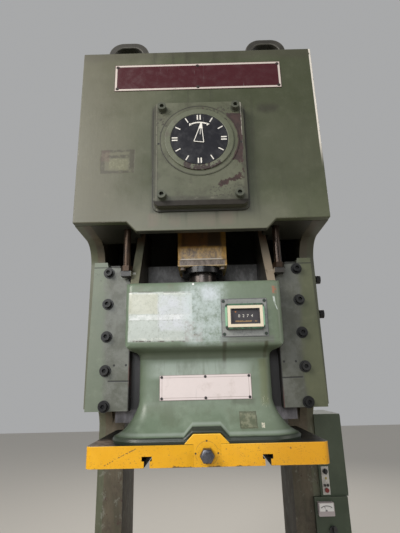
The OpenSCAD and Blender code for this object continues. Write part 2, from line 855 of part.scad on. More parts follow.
module clamp_outline(g) {
  polygon([[-clamp_base_x - g, slide_z - cut], [clamp_base_x + g, slide_z - cut],
    [clamp_base_x + g, slide_z + 3 + g], [clamp_top_x + g, clamp_top_z + g],
    [-clamp_top_x - g, clamp_top_z + g], [-clamp_base_x - g, slide_z + 3 + g]]);
}
pocket_x = 130;
module slide_casting() {
  difference() {
    union() {
      slide_half();
      mirror([1, 0, 0]) slide_half();
      head_box();
      box([-wall_x + 1, rear_wall_y, head_top_z - cut],
          [wall_x - 1, rear_wall_y + web_t, head_top_z + rear_wall_h]);
    }
    for (side = [-1, 1]) sided(side)
      box([pocket_x, 30, slide_z + pocket_rim],
        [wall_x - pocket_rim, slide_back_y + cut, head_top_z - pocket_rim]);
    along_y(-flange_d / 2 - clamp_run, -flange_d / 2 + clamp_y) clamp_outline(way_gap);
    translate([0, 0, screw_seat_z]) cylinder(h = head_top_z, d = screw_d + 2 * run_gap);
    translate([0, 0, screw_seat_z]) sphere(d = ball_d + 2 * way_gap);
  }
}
// The casting is one piece; it is handed over as its head and its foot
module slide() {
  color("darkseagreen") place() intersection() {
    slide_casting();
    box([-half_w, -crown_front_y, head_bottom_z], [half_w, back_y, crown_top_z]);
  }
}
module slide_foot() {
  color("darkseagreen") place() intersection() {
    slide_casting();
    box([-half_w, -flange_d, 0], [half_w, back_y, head_bottom_z]);
  }
}
module slide_flange() {
  color("gold") place() difference() {
    translate([0, 0, flange_z]) linear_extrude(flange_t)
      rounded(flange_w, flange_d, flange_r);
    for (x = [-slot_pitch / 2, slot_pitch / 2])
      along_y(-flange_d / 2 - cut, flange_d / 2 + cut)
        translate([x, flange_z]) tslot();
    translate([0, 0, flange_z - cut]) cylinder(h = shank_depth + cut, d = shank_d);
    box([-clamp_top_x - way_gap, -flange_d / 2 - cut, flange_z - cut],
        [clamp_top_x + way_gap, -flange_d / 2 + clamp_y, slide_z + cut]);
  }
}
clamp_bolt_z = flange_z + 44;
module shank_clamp() {
  color("gold") place() difference() {
    union() {
      box([-clamp_top_x, -flange_d / 2, flange_z],
          [clamp_top_x, -flange_d / 2 + clamp_y - way_gap, slide_z + cut]);
      intersection() {
        along_y(-flange_d / 2, -flange_d / 2 + clamp_y - way_gap) clamp_outline(0);
        box([-clamp_base_x, -flange_d, slide_z], [clamp_base_x, 0, clamp_top_z]);
      }
    }
    bar_y(0, clamp_bolt_z, 30 + 2 * way_gap, -flange_d / 2 - cut, 0);
  }
}
module clamp_bolt() {
  color("slategray") place() {
    bar_y(0, clamp_bolt_z, 30, -flange_d / 2 - cut, -flange_d / 2 + clamp_y - 5);
    bar_y(0, clamp_bolt_z, 60, -flange_d / 2 - 34, -flange_d / 2);
    bar_y(0, clamp_bolt_z, 46, -flange_d / 2 - 48, -flange_d / 2 - 33);
  }
}

// Die height counter on the head box
module counter() {
  y = -head_front_y;
  color("lightgray") place() difference() {
    union() {
      along_y(y - 4, y) translate([counter_x, counter_z])
        rounded(counter_w, counter_h, 6);
      along_y(y - 26, y - 4) translate([counter_x, counter_z + 2])
        rounded(168, 109, 10);
      for (x = [-1, 1], z = [-1, 1])
        bar_y(counter_x + x * (counter_w / 2 - 11),
          counter_z + z * (counter_h / 2 - 11), 11, y - 7, y - 3);
    }
    along_y(y - 30, y - 14) translate([counter_x + 2, counter_z + 2])
      rounded(116, 62, 3);
  }
}

// Pinion shaft with its clutch drum, flywheel and motor pulley
module pinion_shaft() {
  end_y = wheel_y + wheel_w + clutch_w;
  color("steelblue") place() translate([0, 0, pinion_z]) {
    bar_y(0, 0, pinion_shaft_d, throat_y + web_t / 2 + 1, end_y - 20);
    along_y(gear_y - 5, gear_y + gear_w + 5) polygon(gear_points(pinion_n,
      [for (k = [-1.25, -0.6, -0.1, 0.5, 1]) pinion_r + k * gear_m]));
    bar_y(0, 0, clutch_d, wheel_y + wheel_w + 1, end_y);
  }
}
clutch_d = 300;
clutch_w = 70;
wheel_hub_d = 240;
wheel_rim = 90;
function groove_x(i, n, w) = w / 2 + (i - (n - 1) / 2) * groove_pitch;
module grooved(d, w, core) {
  rotate([-90, 0, 0]) difference() {
    cylinder(h = w, d = d);
    for (i = [0 : belt_n - 1]) translate([0, 0, groove_x(i, belt_n, w)])
      rotate_extrude() polygon([
        [d / 2 - groove_d, -5], [d / 2 + 1, -9], [d / 2 + 1, 9],
        [d / 2 - groove_d, 5]]);
    translate([0, 0, -cut]) cylinder(h = w + 2 * cut, d = core);
  }
}
module flywheel() {
  color("olive") place() translate([0, wheel_y, pinion_z]) difference() {
    grooved(wheel_d, wheel_w, pinion_shaft_d + 2 * run_gap);
    for (y = [-cut, wheel_w * 0.7]) difference() {
      bar_y(0, 0, wheel_d - 2 * wheel_rim, y, y + wheel_w * 0.3 + cut);
      bar_y(0, 0, wheel_hub_d, y - cut, y + wheel_w);
    }
  }
}
module motor_pulley() {
  color("gray") place() {
    translate([0, wheel_y, motor_z]) grooved(pulley_d, wheel_w, motor_shaft_d - 4);
    bar_y(0, motor_z, motor_shaft_d, motor_y1 - motor_seat + 2, wheel_y + wheel_w);
  }
}

// Belts as closed loops on the tangents of both wheels
belt_c = motor_z - pinion_z;
function belt_angle(r1, r2) = asin((r1 - r2) / belt_c);
module loop_shape(r1, r2) {
  a = belt_angle(r1, r2);
  translate([0, pinion_z]) circle(r1);
  translate([0, motor_z]) circle(r2);
  polygon([[r1 * cos(a), pinion_z + r1 * sin(a)],
    [r2 * cos(a), motor_z + r2 * sin(a)],
    [-r2 * cos(a), motor_z + r2 * sin(a)],
    [-r1 * cos(a), pinion_z + r1 * sin(a)]]);
}
belt_low = groove_d - 1;
belt_h = 12;
module belts() {
  color("black") place() for (i = [0 : belt_n - 1]) {
    y = wheel_y + groove_x(i, belt_n, wheel_w);
    along_y(y - 4.2, y + 4.2) difference() {
      loop_shape(wheel_d / 2 - belt_low + belt_h, pulley_d / 2 - belt_low + belt_h);
      loop_shape(wheel_d / 2 - belt_low, pulley_d / 2 - belt_low);
    }
  }
}
module belt_guard() {
  r1 = wheel_d / 2 + guard_gap;
  r2 = pulley_d / 2 + guard_gap;
  color("darkseagreen") place() difference() {
    along_y(guard_y0, guard_y1) loop_shape(r1, r2);
    along_y(guard_y0 - cut, guard_y1 - guard_t) loop_shape(r1 - guard_t, r2 - guard_t);
    for (a = [0 : 45 : 315]) translate([0, 0, pinion_z]) rotate([0, a, 0])
      box([170, guard_y1 - 10, -12], [300, guard_y1 + 10, 12]);
  }
}

// Motor on its base plate
foot_h = 20;
motor_y1 = wheel_y - 60;
motor_seat = 60;
module motor() {
  y1 = motor_y1;
  y0 = y1 - motor_len;
  color("slategray") place() difference() {
    motor_body(y0, y1);
    bar_y(0, motor_z, motor_shaft_d + 2 * run_gap, y1 - motor_seat, y1 + cut);
  }
}
module motor_body(y0, y1) {
  bar_y(0, motor_z, motor_d - 30, y0, y1);
  for (y = [y0 + 30, y1 - 45]) bar_y(0, motor_z, motor_d, y, y + 15);
  bar_y(0, motor_z, motor_d, y0 - motor_cowl, y0);
  for (side = [-1, 1]) translate([side * motor_foot_x, 0, 0])
    box([-motor_foot_w / 2, y0 + 60, crown_top_z + base_t],
        [motor_foot_w / 2, y1 - 60, motor_z - motor_d / 4]);
  for (a = [20 : 20 : 160]) translate([0, 0, motor_z]) rotate([0, -a, 0])
    box([motor_d / 2 - 20, y0 + 50, -3], [motor_d / 2 - 2, y1 - 50, 3]);
}
module motor_base() {
  color("dimgray") place() box([-base_w / 2, back_y - 10 - base_l, crown_top_z],
    [base_w / 2, back_y - 10, crown_top_z + base_t]);
}

// Control cabinet, lower box and what is on their fronts
cab_x1 = half_w + cab_out;
cab_back_y = cab_front_y + cab_d;
door_rim = 14;
// Stems of the controls: selector above, two keys, stop button below
stem_d = 10;
key_x = 8;
module control_holes(y0, y1) {
  for (p = [[0, selector_dz], [-key_x, keys_dz], [key_x, keys_dz], [0, stop_dz]])
    bar_y(strip_x + p[0], strip_z + p[1], stem_d + 2 * way_gap, y0, y1);
}
selector_dz = 46;
keys_dz = -22;
stop_dz = -46;
module cabinet() {
  color("darkolivegreen") place() difference() {
    box([half_w, cab_front_y, cab_z], [cab_x1, cab_back_y, cab_z + cab_h]);
    box([half_w + cab_t, cab_front_y + cab_t, cab_z + cab_t],
        [cab_x1 - cab_t, cab_back_y - cab_t, cab_z + cab_h - cab_t]);
    box([cab_x1 - cab_t - cut, cab_front_y + door_rim, cab_z + door_rim],
        [cab_x1 + cut, cab_back_y - door_rim, cab_z + cab_h - door_rim]);
    control_holes(cab_front_y - cut, cab_front_y + 10);
  }
}
module cabinet_door() {
  color("olive") place() {
    box([cab_x1 + way_gap, cab_front_y + 6, cab_z + 6],
        [cab_x1 + way_gap + cab_t, cab_back_y - 6, cab_z + cab_h - 6]);
    translate([cab_x1 + 4, cab_back_y - 1, cab_z + 30]) cylinder(h = 60, d = 7);
    translate([cab_x1 + 4, cab_back_y - 1, cab_z + cab_h - 90]) cylinder(h = 60, d = 7);
    box([cab_x1 + way_gap, cab_back_y - 7, cab_z + 30],
        [cab_x1 + way_gap + cab_t, cab_back_y - 1, cab_z + 90]);
    box([cab_x1 + way_gap, cab_back_y - 7, cab_z + cab_h - 90],
        [cab_x1 + way_gap + cab_t, cab_back_y - 1, cab_z + cab_h - 30]);
  }
}
module lower_box() {
  color("darkolivegreen") place() difference() {
    union() {
      box([half_w, box_front_y, cab_z - box_h], [half_w + box_out, cab_back_y, cab_z]);
      box([half_w - box_in, box_front_y, cab_z - box_h], [half_w + 1, throat_y, cab_z]);
    }
    bar_y(knob_x, knob_z, stem_d + 2 * way_gap, box_front_y - cut, box_front_y + 14);
  }
}
module button_strip() {
  color("white") place() difference() {
    union() {
      along_y(cab_front_y - 2, cab_front_y) translate([strip_x, strip_z])
        square([strip_w, strip_h], center = true);
      bar_y(strip_x, strip_z, 12, cab_front_y - 9, cab_front_y - 1);
    }
    control_holes(cab_front_y - 10, cab_front_y + cut);
  }
}
module control(x, z, y, d, h) {
  bar_y(x, z, d, y - h - 3, y - 3);
  bar_y(x, z, stem_d, y - 4, y + 9);
}
module stop_button() {
  color("red") place()
    control(strip_x, strip_z + stop_dz, cab_front_y - 2, 22, 9);
}
module key_left() {
  color("black") place()
    control(strip_x - key_x, strip_z + keys_dz, cab_front_y - 2, 13, 5);
}
module key_right() {
  color("black") place()
    control(strip_x + key_x, strip_z + keys_dz, cab_front_y - 2, 13, 5);
}
module knob(x, z, y, d) {
  control(x, z, y, d, 8);
  box([x - 4, y - 26, z - d / 2 + 1], [x + 4, y - 8, z + d / 2 - 1]);
}
module selector_knob() {
  color("black") place()
    knob(strip_x, strip_z + selector_dz, cab_front_y - 2, 26);
}
module speed_knob() {
  color("black") place() knob(knob_x, knob_z, box_front_y, 40);
}
module meter() {
  color("white") place() {
    along_y(box_front_y - 24, box_front_y) translate([meter_x, meter_z])
      rounded(82, 64, 4);
    along_y(box_front_y - 28, box_front_y - 23) translate([meter_x, meter_z + 8])
      rounded(74, 42, 3);
  }
}
module side_fittings() {
  color("black") place() for (z = [2088, 2280]) translate([half_w, 170, z])
    rotate([0, 90, 0]) {
      cylinder(h = 16, d = 50, $fn = 6);
      cylinder(h = 52, d = 28);
      translate([0, 0, 30]) cylinder(h = 22, d = 46);
    }
}

side_frame_left();
side_frame_right();
crown_front();
crown_top();
crown_under();
throat_web();
gear_wall();
back_plate();
case_floor();
bed_front();
bed_top();
bed_rear();
base_rails();
bolster();
guide_left();
guide_right();
gib_left();
gib_right();
gib_bolts();
lugs();
balance_cylinders();
dial_cover();
dial_cover_bolts();
dial_bezel();
dial_face();
crown_plate();
motor();
motor_base();
belts();
belt_guard();
cabinet();
lower_box();
button_strip();
meter();
side_fittings();
crankshaft();
main_gear();
pointer();
connecting_rod();
crank_pin();
rod_clamp();
lock_nut();
slide();
slide_foot();
slide_flange();
shank_clamp();
clamp_bolt();
counter();
slide_plate();
balance_rods();
adjusting_screw();
pinion_shaft();
flywheel();
motor_pulley();
cabinet_door();
stop_button();
key_left();
key_right();
selector_knob();
speed_knob();
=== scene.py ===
import math
import bmesh
import bpy
from mathutils import Matrix, Vector


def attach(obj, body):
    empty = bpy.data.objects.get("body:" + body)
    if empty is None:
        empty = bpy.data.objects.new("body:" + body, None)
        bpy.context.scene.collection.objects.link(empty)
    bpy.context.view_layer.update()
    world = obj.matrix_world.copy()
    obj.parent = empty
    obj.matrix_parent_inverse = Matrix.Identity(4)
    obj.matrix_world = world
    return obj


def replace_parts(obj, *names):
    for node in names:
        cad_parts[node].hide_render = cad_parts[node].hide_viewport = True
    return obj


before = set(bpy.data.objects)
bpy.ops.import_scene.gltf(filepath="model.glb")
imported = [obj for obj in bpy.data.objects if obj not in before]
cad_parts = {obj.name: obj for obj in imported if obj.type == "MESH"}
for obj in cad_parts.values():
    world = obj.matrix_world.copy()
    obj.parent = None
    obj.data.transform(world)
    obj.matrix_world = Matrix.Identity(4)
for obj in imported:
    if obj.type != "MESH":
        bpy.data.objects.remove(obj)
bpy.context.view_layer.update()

# Camera, floor and light.
# The camera stands at a worker's eye height, two metres in front of the slide
# and tilted up, so the crown leans back and everything under it looks large.
AXIS_Y = -0.436  # the slide's axis, in front of the anchor holes' centre
EYE = (-0.00304, AXIS_Y - 1.98739, 1.74905)
FOCAL_PIXELS, PICTURE_PIXELS, SENSOR_MM = 397.29, 533, 36
pitch, yaw, roll = (math.radians(turn) for turn in (16.17, -0.273, -1.3475))
ahead = Vector((math.sin(yaw) * math.cos(pitch), math.cos(yaw) * math.cos(pitch), math.sin(pitch)))
level = Vector((math.cos(yaw), -math.sin(yaw), 0))
above = level.cross(ahead)
right = math.cos(roll) * level + math.sin(roll) * above
up = -math.sin(roll) * level + math.cos(roll) * above
camera = bpy.data.objects.new("camera", bpy.data.cameras.new("camera"))
camera.data.lens = FOCAL_PIXELS / PICTURE_PIXELS * SENSOR_MM
camera.data.clip_end = 60
camera.matrix_world = Matrix((right, up, -ahead)).transposed().to_4x4()
camera.location = EYE
bpy.context.scene.collection.objects.link(camera)
bpy.context.scene.camera = camera
bpy.context.scene.view_settings.view_transform = "Standard"


def lamp(name, place, target, size, power, colour):
    """A rectangular soft light that looks at its target."""
    data = bpy.data.lights.new(name, "AREA")
    data.shape, data.energy, data.color = "RECTANGLE", power, colour
    data.size, data.size_y = size
    light = bpy.data.objects.new(name, data)
    light.location = place
    light.rotation_euler = (Vector(target) - Vector(place)).to_track_quat("-Z", "Y").to_euler()
    bpy.context.scene.collection.objects.link(light)


lamp("roof_light", (-3.3, -3.9, 4.9), (-0.2, -0.6, 2.3), (2.6, 2.6), 255, (1.0, 0.96, 0.91))
lamp("hall_window", (-1.0, -6.2, 3.4), (0, -0.6, 1.9), (2.6, 1.6), 95, (0.94, 0.97, 1.0))
lamp("right_light", (4.4, -2.6, 3.0), (0.3, -0.4, 2.0), (2.0, 3.0), 42, (1.0, 0.95, 0.88))
lamp("back_light", (1.8, 4.6, 5.2), (0, 0, 2.2), (4.0, 3.0), 130, (1.0, 0.96, 0.9))


def operator(operation, swapped=False):
    """A method of Num that adds one Math node."""

    def method(self, other=0.0):
        first, second = (other, self) if swapped else (self, other)
        return self.shader.add("ShaderNodeMath", {"operation": operation}, {0: first, 1: second})

    return method


class Num:
    """A value inside a shader. Arithmetic on it adds Math nodes."""

    def __init__(self, shader, socket):
        self.shader, self.socket = shader, socket

    __add__, __radd__ = operator("ADD"), operator("ADD", True)
    __sub__, __rsub__ = operator("SUBTRACT"), operator("SUBTRACT", True)
    __mul__, __rmul__ = operator("MULTIPLY"), operator("MULTIPLY", True)
    __truediv__, __pow__, __abs__ = operator("DIVIDE"), operator("POWER"), operator("ABSOLUTE")
    max, min = operator("MAXIMUM"), operator("MINIMUM")


def most(first, *others):
    """The greatest of several masks."""
    for other in others:
        first = first.max(other)
    return first


class Shader:
    """A procedural material on object coordinates, in metres. A mask is 0 to 1."""

    def __init__(self, name):
        self.material = bpy.data.materials.new(name)
        self.material.use_nodes = True
        self.tree = self.material.node_tree
        self.body = self.tree.nodes["Principled BSDF"]
        coords = self.tree.nodes.new("ShaderNodeTexCoord")
        self.place = Num(self, coords.outputs["Object"])
        split = self.tree.nodes.new("ShaderNodeSeparateXYZ")
        self.tree.links.new(self.place.socket, split.inputs[0])
        self.x, self.y, self.z = (Num(self, split.outputs[i]) for i in range(3))

    def add(self, kind, settings, inputs, out=0):
        """Adds any node: its settings first, then values or links for its sockets."""
        node = self.tree.nodes.new(kind)
        for name, value in settings.items():
            setattr(node, name, value)
        for name, value in inputs.items():
            if isinstance(value, Num):
                self.tree.links.new(value.socket, node.inputs[name])
            else:
                node.inputs[name].default_value = value
        return Num(self, node.outputs[out])

    def noise(self, scale, detail=4.0, rough=0.55, stretch=(1, 1, 1), shift=(0, 0, 0)):
        """Noise with a cell of about 1/scale metres, longer along a small stretch."""
        place = {"Vector": self.place, "Location": shift, "Scale": stretch}
        spot = self.add("ShaderNodeMapping", {}, place)
        look = {"Vector": spot, "Scale": scale, "Detail": detail, "Roughness": rough}
        return self.add("ShaderNodeTexNoise", {}, look)

    def rise(self, value, low, high):
        """0 below low, 1 above high, smooth between; falls where low is above high."""
        limits = {"Value": value, "From Min": low, "From Max": high}
        return self.add("ShaderNodeMapRange", {"interpolation_type": "SMOOTHSTEP"}, limits)

    def spots(self, low, high, *look, **more):
        """Noise as a mask, 0 where it is below low and 1 above high."""
        return self.rise(self.noise(*look, **more), low, high)

    def sway(self, span, *look, **more):
        """Noise round 0 over a span, which frays an edge."""
        return (self.noise(*look, **more) - 0.5) * span

    def between(self, value, low, high, soft):
        """1 from low to high, fading over soft metres on each side."""
        return self.rise(value, low - soft, low + soft) * self.rise(value, high + soft, high - soft)

    def field(self, left, right, low, high, soft=0.003, fray=0.0, scale=24):
        """1 inside a rectangle seen from the front, with an edge frayed by so many metres."""
        x, z = self.x, self.z
        if fray:
            x = x + self.sway(2 * fray, scale, 6, 0.65, shift=(left, 3, low))
            z = z + self.sway(2 * fray, scale, 6, 0.65, shift=(high, 9, right))
        return self.between(x, left, right, soft) * self.between(z, low, high, soft)

    def border(self, left, right, low, high, width, soft=0.0004):
        """1 on a band just inside a rectangle's edge."""
        inside = self.field(left + width, right - width, low + width, high - width, soft)
        return self.field(left, right, low, high, soft) * (1 - inside)

    def reach(self, x, z):
        """The distance from a point seen from the front."""
        return ((self.x - x) ** 2 + (self.z - z) ** 2) ** 0.5

    def dots(self, places, outer, inner):
        """1 in round spots at places seen from the front, fading from inner to outer."""
        return most(*(self.rise(self.reach(x, z), outer, inner) for x, z in places))

    def line(self, x0, z0, x1, z1, width):
        """1 on a straight stroke seen from the front."""
        run = Vector((x1 - x0, z1 - z0))
        length, run = run.length, run.normalized()
        along = (self.x - x0) * run.x + (self.z - z0) * run.y
        aside = (self.x - x0) * -run.y + (self.z - z0) * run.x
        ends = self.between(along, 0, length, width * 0.3)
        return self.rise(abs(aside), width * 0.65, width * 0.35) * ends

    def mix(self, share, first, second):
        """A colour that goes from first to second."""
        first = first if isinstance(first, Num) else (*first, 1)
        second = second if isinstance(second, Num) else (*second, 1)
        return self.add("ShaderNodeMix", {"data_type": "RGBA"}, {0: share, 6: first, 7: second}, 2)

    def paint(self, colour, *coats):
        """A colour under coats that are laid in turn, each a mask and its tint."""
        for mask, tint in coats:
            colour = self.mix(mask, colour, tint)
        return colour

    def bump(self, height, strength, depth):
        """A relief from a height between 0 and 1, depth in metres."""
        return self.add("ShaderNodeBump", {}, {"Height": height, "Strength": strength, "Distance": depth})

    def finish(self, colour, rough, normal=None, metal=None):
        """Feeds the look to the material, and gives the material back."""
        look = {"Base Color": colour, "Roughness": rough, "Normal": normal, "Metallic": metal}
        for name, value in look.items():
            if isinstance(value, Num):
                self.tree.links.new(value.socket, self.body.inputs[name])
            elif value is not None:
                self.body.inputs[name].default_value = (*value, 1) if isinstance(value, tuple) else value
        return self.material


floor_mesh = bmesh.new()
bmesh.ops.create_grid(floor_mesh, x_segments=2, y_segments=2, size=14)
floor = bpy.data.objects.new("floor", bpy.data.meshes.new("floor"))
floor_mesh.to_mesh(floor.data)
bpy.context.scene.collection.objects.link(floor)
floor.data.materials.append(Shader("pale_floor").finish((0.6, 0.57, 0.52), 0.85))
world = bpy.data.worlds.new("studio")
world.use_nodes = True
backdrop = world.node_tree.nodes["Background"]
backdrop.inputs["Color"].default_value = (0.93, 0.94, 0.95, 1)
backdrop.inputs["Strength"].default_value = 0.42
bpy.context.scene.world = world

# Frame enamel and the welded frame.
# Thick steel plates welded into a C and brushed with olive-green enamel over a
# red-brown primer. Years of oil mist leave runs, smears and chips to bare metal.
OLIVE, OLIVE_LIGHT = (0.084, 0.092, 0.052), (0.128, 0.13, 0.088)
CROWN, CROWN_LIGHT = (0.056, 0.066, 0.033), (0.088, 0.094, 0.056)
PRIMER = (0.062, 0.03, 0.026)
BARE = (0.2, 0.19, 0.17)
GRIME = (0.022, 0.02, 0.012)
CROWN_Y, CROWN_LOW = AXIS_Y - 0.278, 2.4215  # front and lower edge of the crown plate
UPRIGHT_X = 0.56  # inner faces of the uprights


def enamel(name, base, light, chips=0.5, runs=0.5, dust=0.3, gloss=0.42, chip_colour=BARE, extra=None):
    """Old brushed enamel: cloudy colour, oil runs and chips. A piece adds its own marks by extra."""
    s = Shader(name)
    cloud = s.spots(0.34, 0.68, 1.9, 5, 0.6)
    patch = s.noise(13, 7, 0.66)
    brush = s.noise(95, 4, 0.6, (1, 1, 0.12))
    run = s.spots(0.52, 0.74, 21, 6, 0.65, (1, 1, 0.06))
    run = run * s.spots(0.42, 0.68, 2.6, 4, 0.6, (1, 1, 0.4), (3, 1, 2))
    smear = s.spots(0.53, 0.78, 6, 8, 0.7, shift=(7, 2, 1))
    colour = s.paint(
        s.mix(cloud * 0.75 + (patch - 0.5) * 0.7 + (brush - 0.5) * 0.3, base, light),
        (s.rise(patch, 0.52, 0.74) * dust, tuple(min(1, c * 1.35 + 0.01) for c in light)),
        ((run * runs + smear * (0.5 * runs)).min(0.9), GRIME),
    )
    sparse = 0.84 - 0.14 * chips
    chip = s.rise(s.noise(75, 8, 0.72) + s.sway(0.5, 5, 4, 0.6, shift=(1, 5, 3)), sparse, sparse + 0.02)
    rough = gloss + 0.16 * cloud + (patch - 0.5) * 0.3
    height = s.noise(240, 2) * 0.2 + brush * 0.35 + s.noise(28, 4, 0.6) * 0.45 - chip * 0.6
    if extra:
        colour, chip, rough, height = extra(s, colour, chip, rough, height)
    colour = s.mix(chip, colour, s.mix(s.spots(0.45, 0.55, 120, 3), chip_colour, PRIMER))
    return s.finish(colour, (rough + 0.1 * chip).min(0.95), s.bump(height, 0.35, 0.0016), chip * 0.2)


def merged(node):
    """A bmesh copy of a CAD node with its loose triangles joined into whole faces."""
    shape = bmesh.new()
    shape.from_mesh(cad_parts[node].data)
    bmesh.ops.remove_doubles(shape, verts=shape.verts, dist=2e-5)
    bmesh.ops.dissolve_limit(shape, angle_limit=math.radians(0.6), verts=shape.verts, edges=shape.edges)
    return shape


def new_piece(name, shape, body, material, crease=35):
    """Makes an object from a bmesh, smooth but for its creases, riding on a body."""
    piece = bpy.data.objects.new(name, bpy.data.meshes.new(name))
    shape.to_mesh(piece.data)
    shape.free()
    piece.data.materials.append(material)
    bpy.context.scene.collection.objects.link(piece)
    for face in piece.data.polygons:
        face.use_smooth = True
    piece.data.set_sharp_from_angle(angle=math.radians(crease))
    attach(piece, body)
    return piece


def soften(node, body, width, material, worn=None, spare=None, angle=40, crease=50):
    """Stands for a CAD node, with its sharp edges rounded as a grinder leaves them.

    The rounded faces take the material worn. Edges between points that spare picks stay sharp.
    """
    shape = merged(node)
    sharp = math.radians(angle)
    edges = [e for e in shape.edges if len(e.link_faces) == 2 and e.calc_face_angle(0) > sharp]
    if spare:
        edges = [e for e in edges if not all(spare(v.co) for v in e.verts)]
    rounded = bmesh.ops.bevel(
        shape, geom=edges, offset=width, segments=2, profile=0.5,
        affect="EDGES", clamp_overlap=True, material=-1,
    )
    for face in rounded["faces"] if worn else ():
        face.material_index = 1
    piece = new_piece(node + "_skin", shape, body, material, crease)
    if worn:
        piece.data.materials.append(worn)
    even = piece.modifiers.new("even_shading", "WEIGHTED_NORMAL")
    even.keep_sharp = True
    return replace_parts(piece, node)


def dress(material, *nodes):
    """Gives CAD nodes that keep their own mesh a material."""
    for node in nodes:
        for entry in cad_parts[node].material_slots:
            entry.material = material


def upright_wear(s, colour, chip, rough, height):
    """Below the slide the uprights are scuffed by stock and hands; inside they are brown."""
    low = s.rise(s.z, 1.75, 1.35)
    inside = s.rise(abs(s.x), UPRIGHT_X + 0.008, UPRIGHT_X)
    brown = s.mix(s.spots(0.4, 0.6, 9, 6, 0.65, (1, 1, 0.3)), (0.055, 0.036, 0.022), (0.105, 0.075, 0.05))
    streak = s.spots(0.46, 0.62, 26, 7, 0.7, (1, 1, 0.12), (5, 1, 2)) * low
    scuff = s.spots(0.48, 0.62, 10, 8, 0.72, (1, 1, 0.35)) * low
    dirt = s.mix(s.spots(0.42, 0.58, 40, 5, 0.6), (0.05, 0.036, 0.026), (0.085, 0.068, 0.045))
    bright = s.spots(0.56, 0.63, 22, 8, 0.7, (1, 1, 0.6), (4, 4, 4)) * low
    neck = s.rise(s.x, 0.2, 0.4) * s.rise(s.z, 2.26, 2.36) * s.rise(s.y, CROWN_Y + 0.75, CROWN_Y + 0.5)
    colour = s.paint(
        colour,
        (inside * 0.7, brown),
        (streak * 0.5, (0.04, 0.044, 0.024)),
        (scuff * 0.75, dirt),
        (bright * 0.65, (0.19, 0.19, 0.155)),
        (neck * 0.6, (0.03, 0.028, 0.016)),
    )
    return colour, chip.max(s.spots(0.62, 0.66, 30, 8, 0.72) * low), rough + low * 0.12, height


def crown_wear(s, colour, chip, rough, height):
    """Oil haze and painted shade to the right, dust and painted sheen and a worn patch on the left, runs
    below the cover, a bare right edge with a painted highlight.
    """
    front = s.rise(s.y, CROWN_Y + 0.012, CROWN_Y + 0.004)
    # Darker to the right: partly oil haze, partly painted shade for light that falls from the left.
    haze = s.rise(s.x + s.sway(0.5, 1.5), -0.42, 0.1) * s.rise(s.z + s.sway(0.3, 2), 2.52, 2.78)
    # Lighter and warmer to the left: partly dust, partly a painted sheen.
    dusty = s.rise(s.x + s.sway(0.4, 2), -0.1, -0.52) * front
    oily_top = s.rise(s.z + s.sway(0.1, 4, 5), 3.36, 3.41) * front
    pale_foot = s.rise(s.z + s.sway(0.2, 3, 5), 2.62, 2.48) * s.rise(abs(s.x), 0.5, 0.3) * front
    patch = s.field(-0.482, -0.318, 2.722, 2.852, 0.003, 0.012) * front
    rim = most(
        1 - s.field(-0.462, -0.342, 2.737, 2.838, 0.005, 0.014, 40),
        s.field(-0.47, -0.33, 2.806, 2.822, 0.004, 0.01, 40),
    )
    red_corner = s.field(-0.482, -0.44, 2.79, 2.85, 0.006, 0.014, 40)
    core = s.field(-0.44, -0.35, 2.742, 2.8, 0.006, 0.02, 40)
    cream = s.mix(s.spots(0.44, 0.6, 60, 6, 0.7, shift=(1, 1, 1)), (0.12, 0.12, 0.066), (0.18, 0.18, 0.105))
    drip = s.between(s.x, -0.27, 0.27, 0.03) * s.rise(s.z, 2.4, 2.54)
    drip = drip * s.spots(0.52, 0.68, 24, 5, 0.6, (1, 1, 0.07))
    smudge = s.field(0.3, 0.4, 3.05, 3.09, 0.02, 0.02, 18)
    # Grime and a painted contact shadow round the dial cover.
    round_cover = s.field(-0.233, 0.233, 2.51, 3.086, 0.01, 0.004, 30)
    runs = s.field(-0.25, 0.21, 2.44, 2.512, 0.012, 0.03, 12) * s.spots(0.42, 0.6, 14, 5, 0.6, (1, 1, 0.12))
    # A bare worn line down the right edge, pale as a painted highlight.
    edge = s.rise(s.x, 0.5875, 0.5895) * s.rise(s.y, CROWN_Y + 0.009, CROWN_Y + 0.006)
    edge = edge * s.spots(0.34, 0.42, 30, 8, 0.75, (1, 1, 0.4)) * s.rise(s.z, 2.72, 2.9)
    colour = s.paint(
        colour,
        (haze * 0.55, (0.03, 0.034, 0.015)),
        (dusty * 0.4, (0.112, 0.094, 0.068)),
        (oily_top * 0.45, (0.046, 0.04, 0.028)),
        (pale_foot * 0.45, (0.15, 0.148, 0.112)),
        (patch * 0.55, (0.105, 0.1, 0.062)),
        (rim * patch * s.spots(0.32, 0.5, 34, 7, 0.7) * 0.8, (0.036, 0.032, 0.018)),
        (red_corner * patch * 0.3, (0.085, 0.035, 0.03)),
        (core * patch * 0.55, cream),
        (runs * front * 0.4, (0.15, 0.112, 0.088)),
        ((drip * 0.45 + smudge * 0.7 + round_cover * 0.6).min(0.8) * front, GRIME),
        (edge, (0.62, 0.58, 0.52)),
        # painted shade on the plate's lower edge and underside
        (s.rise(s.z, CROWN_LOW + 0.002, CROWN_LOW), (0.03, 0.03, 0.022)),
    )
    return colour, chip, rough - 0.05 * front, height - patch * s.noise(60, 5, 0.6) * 0.6


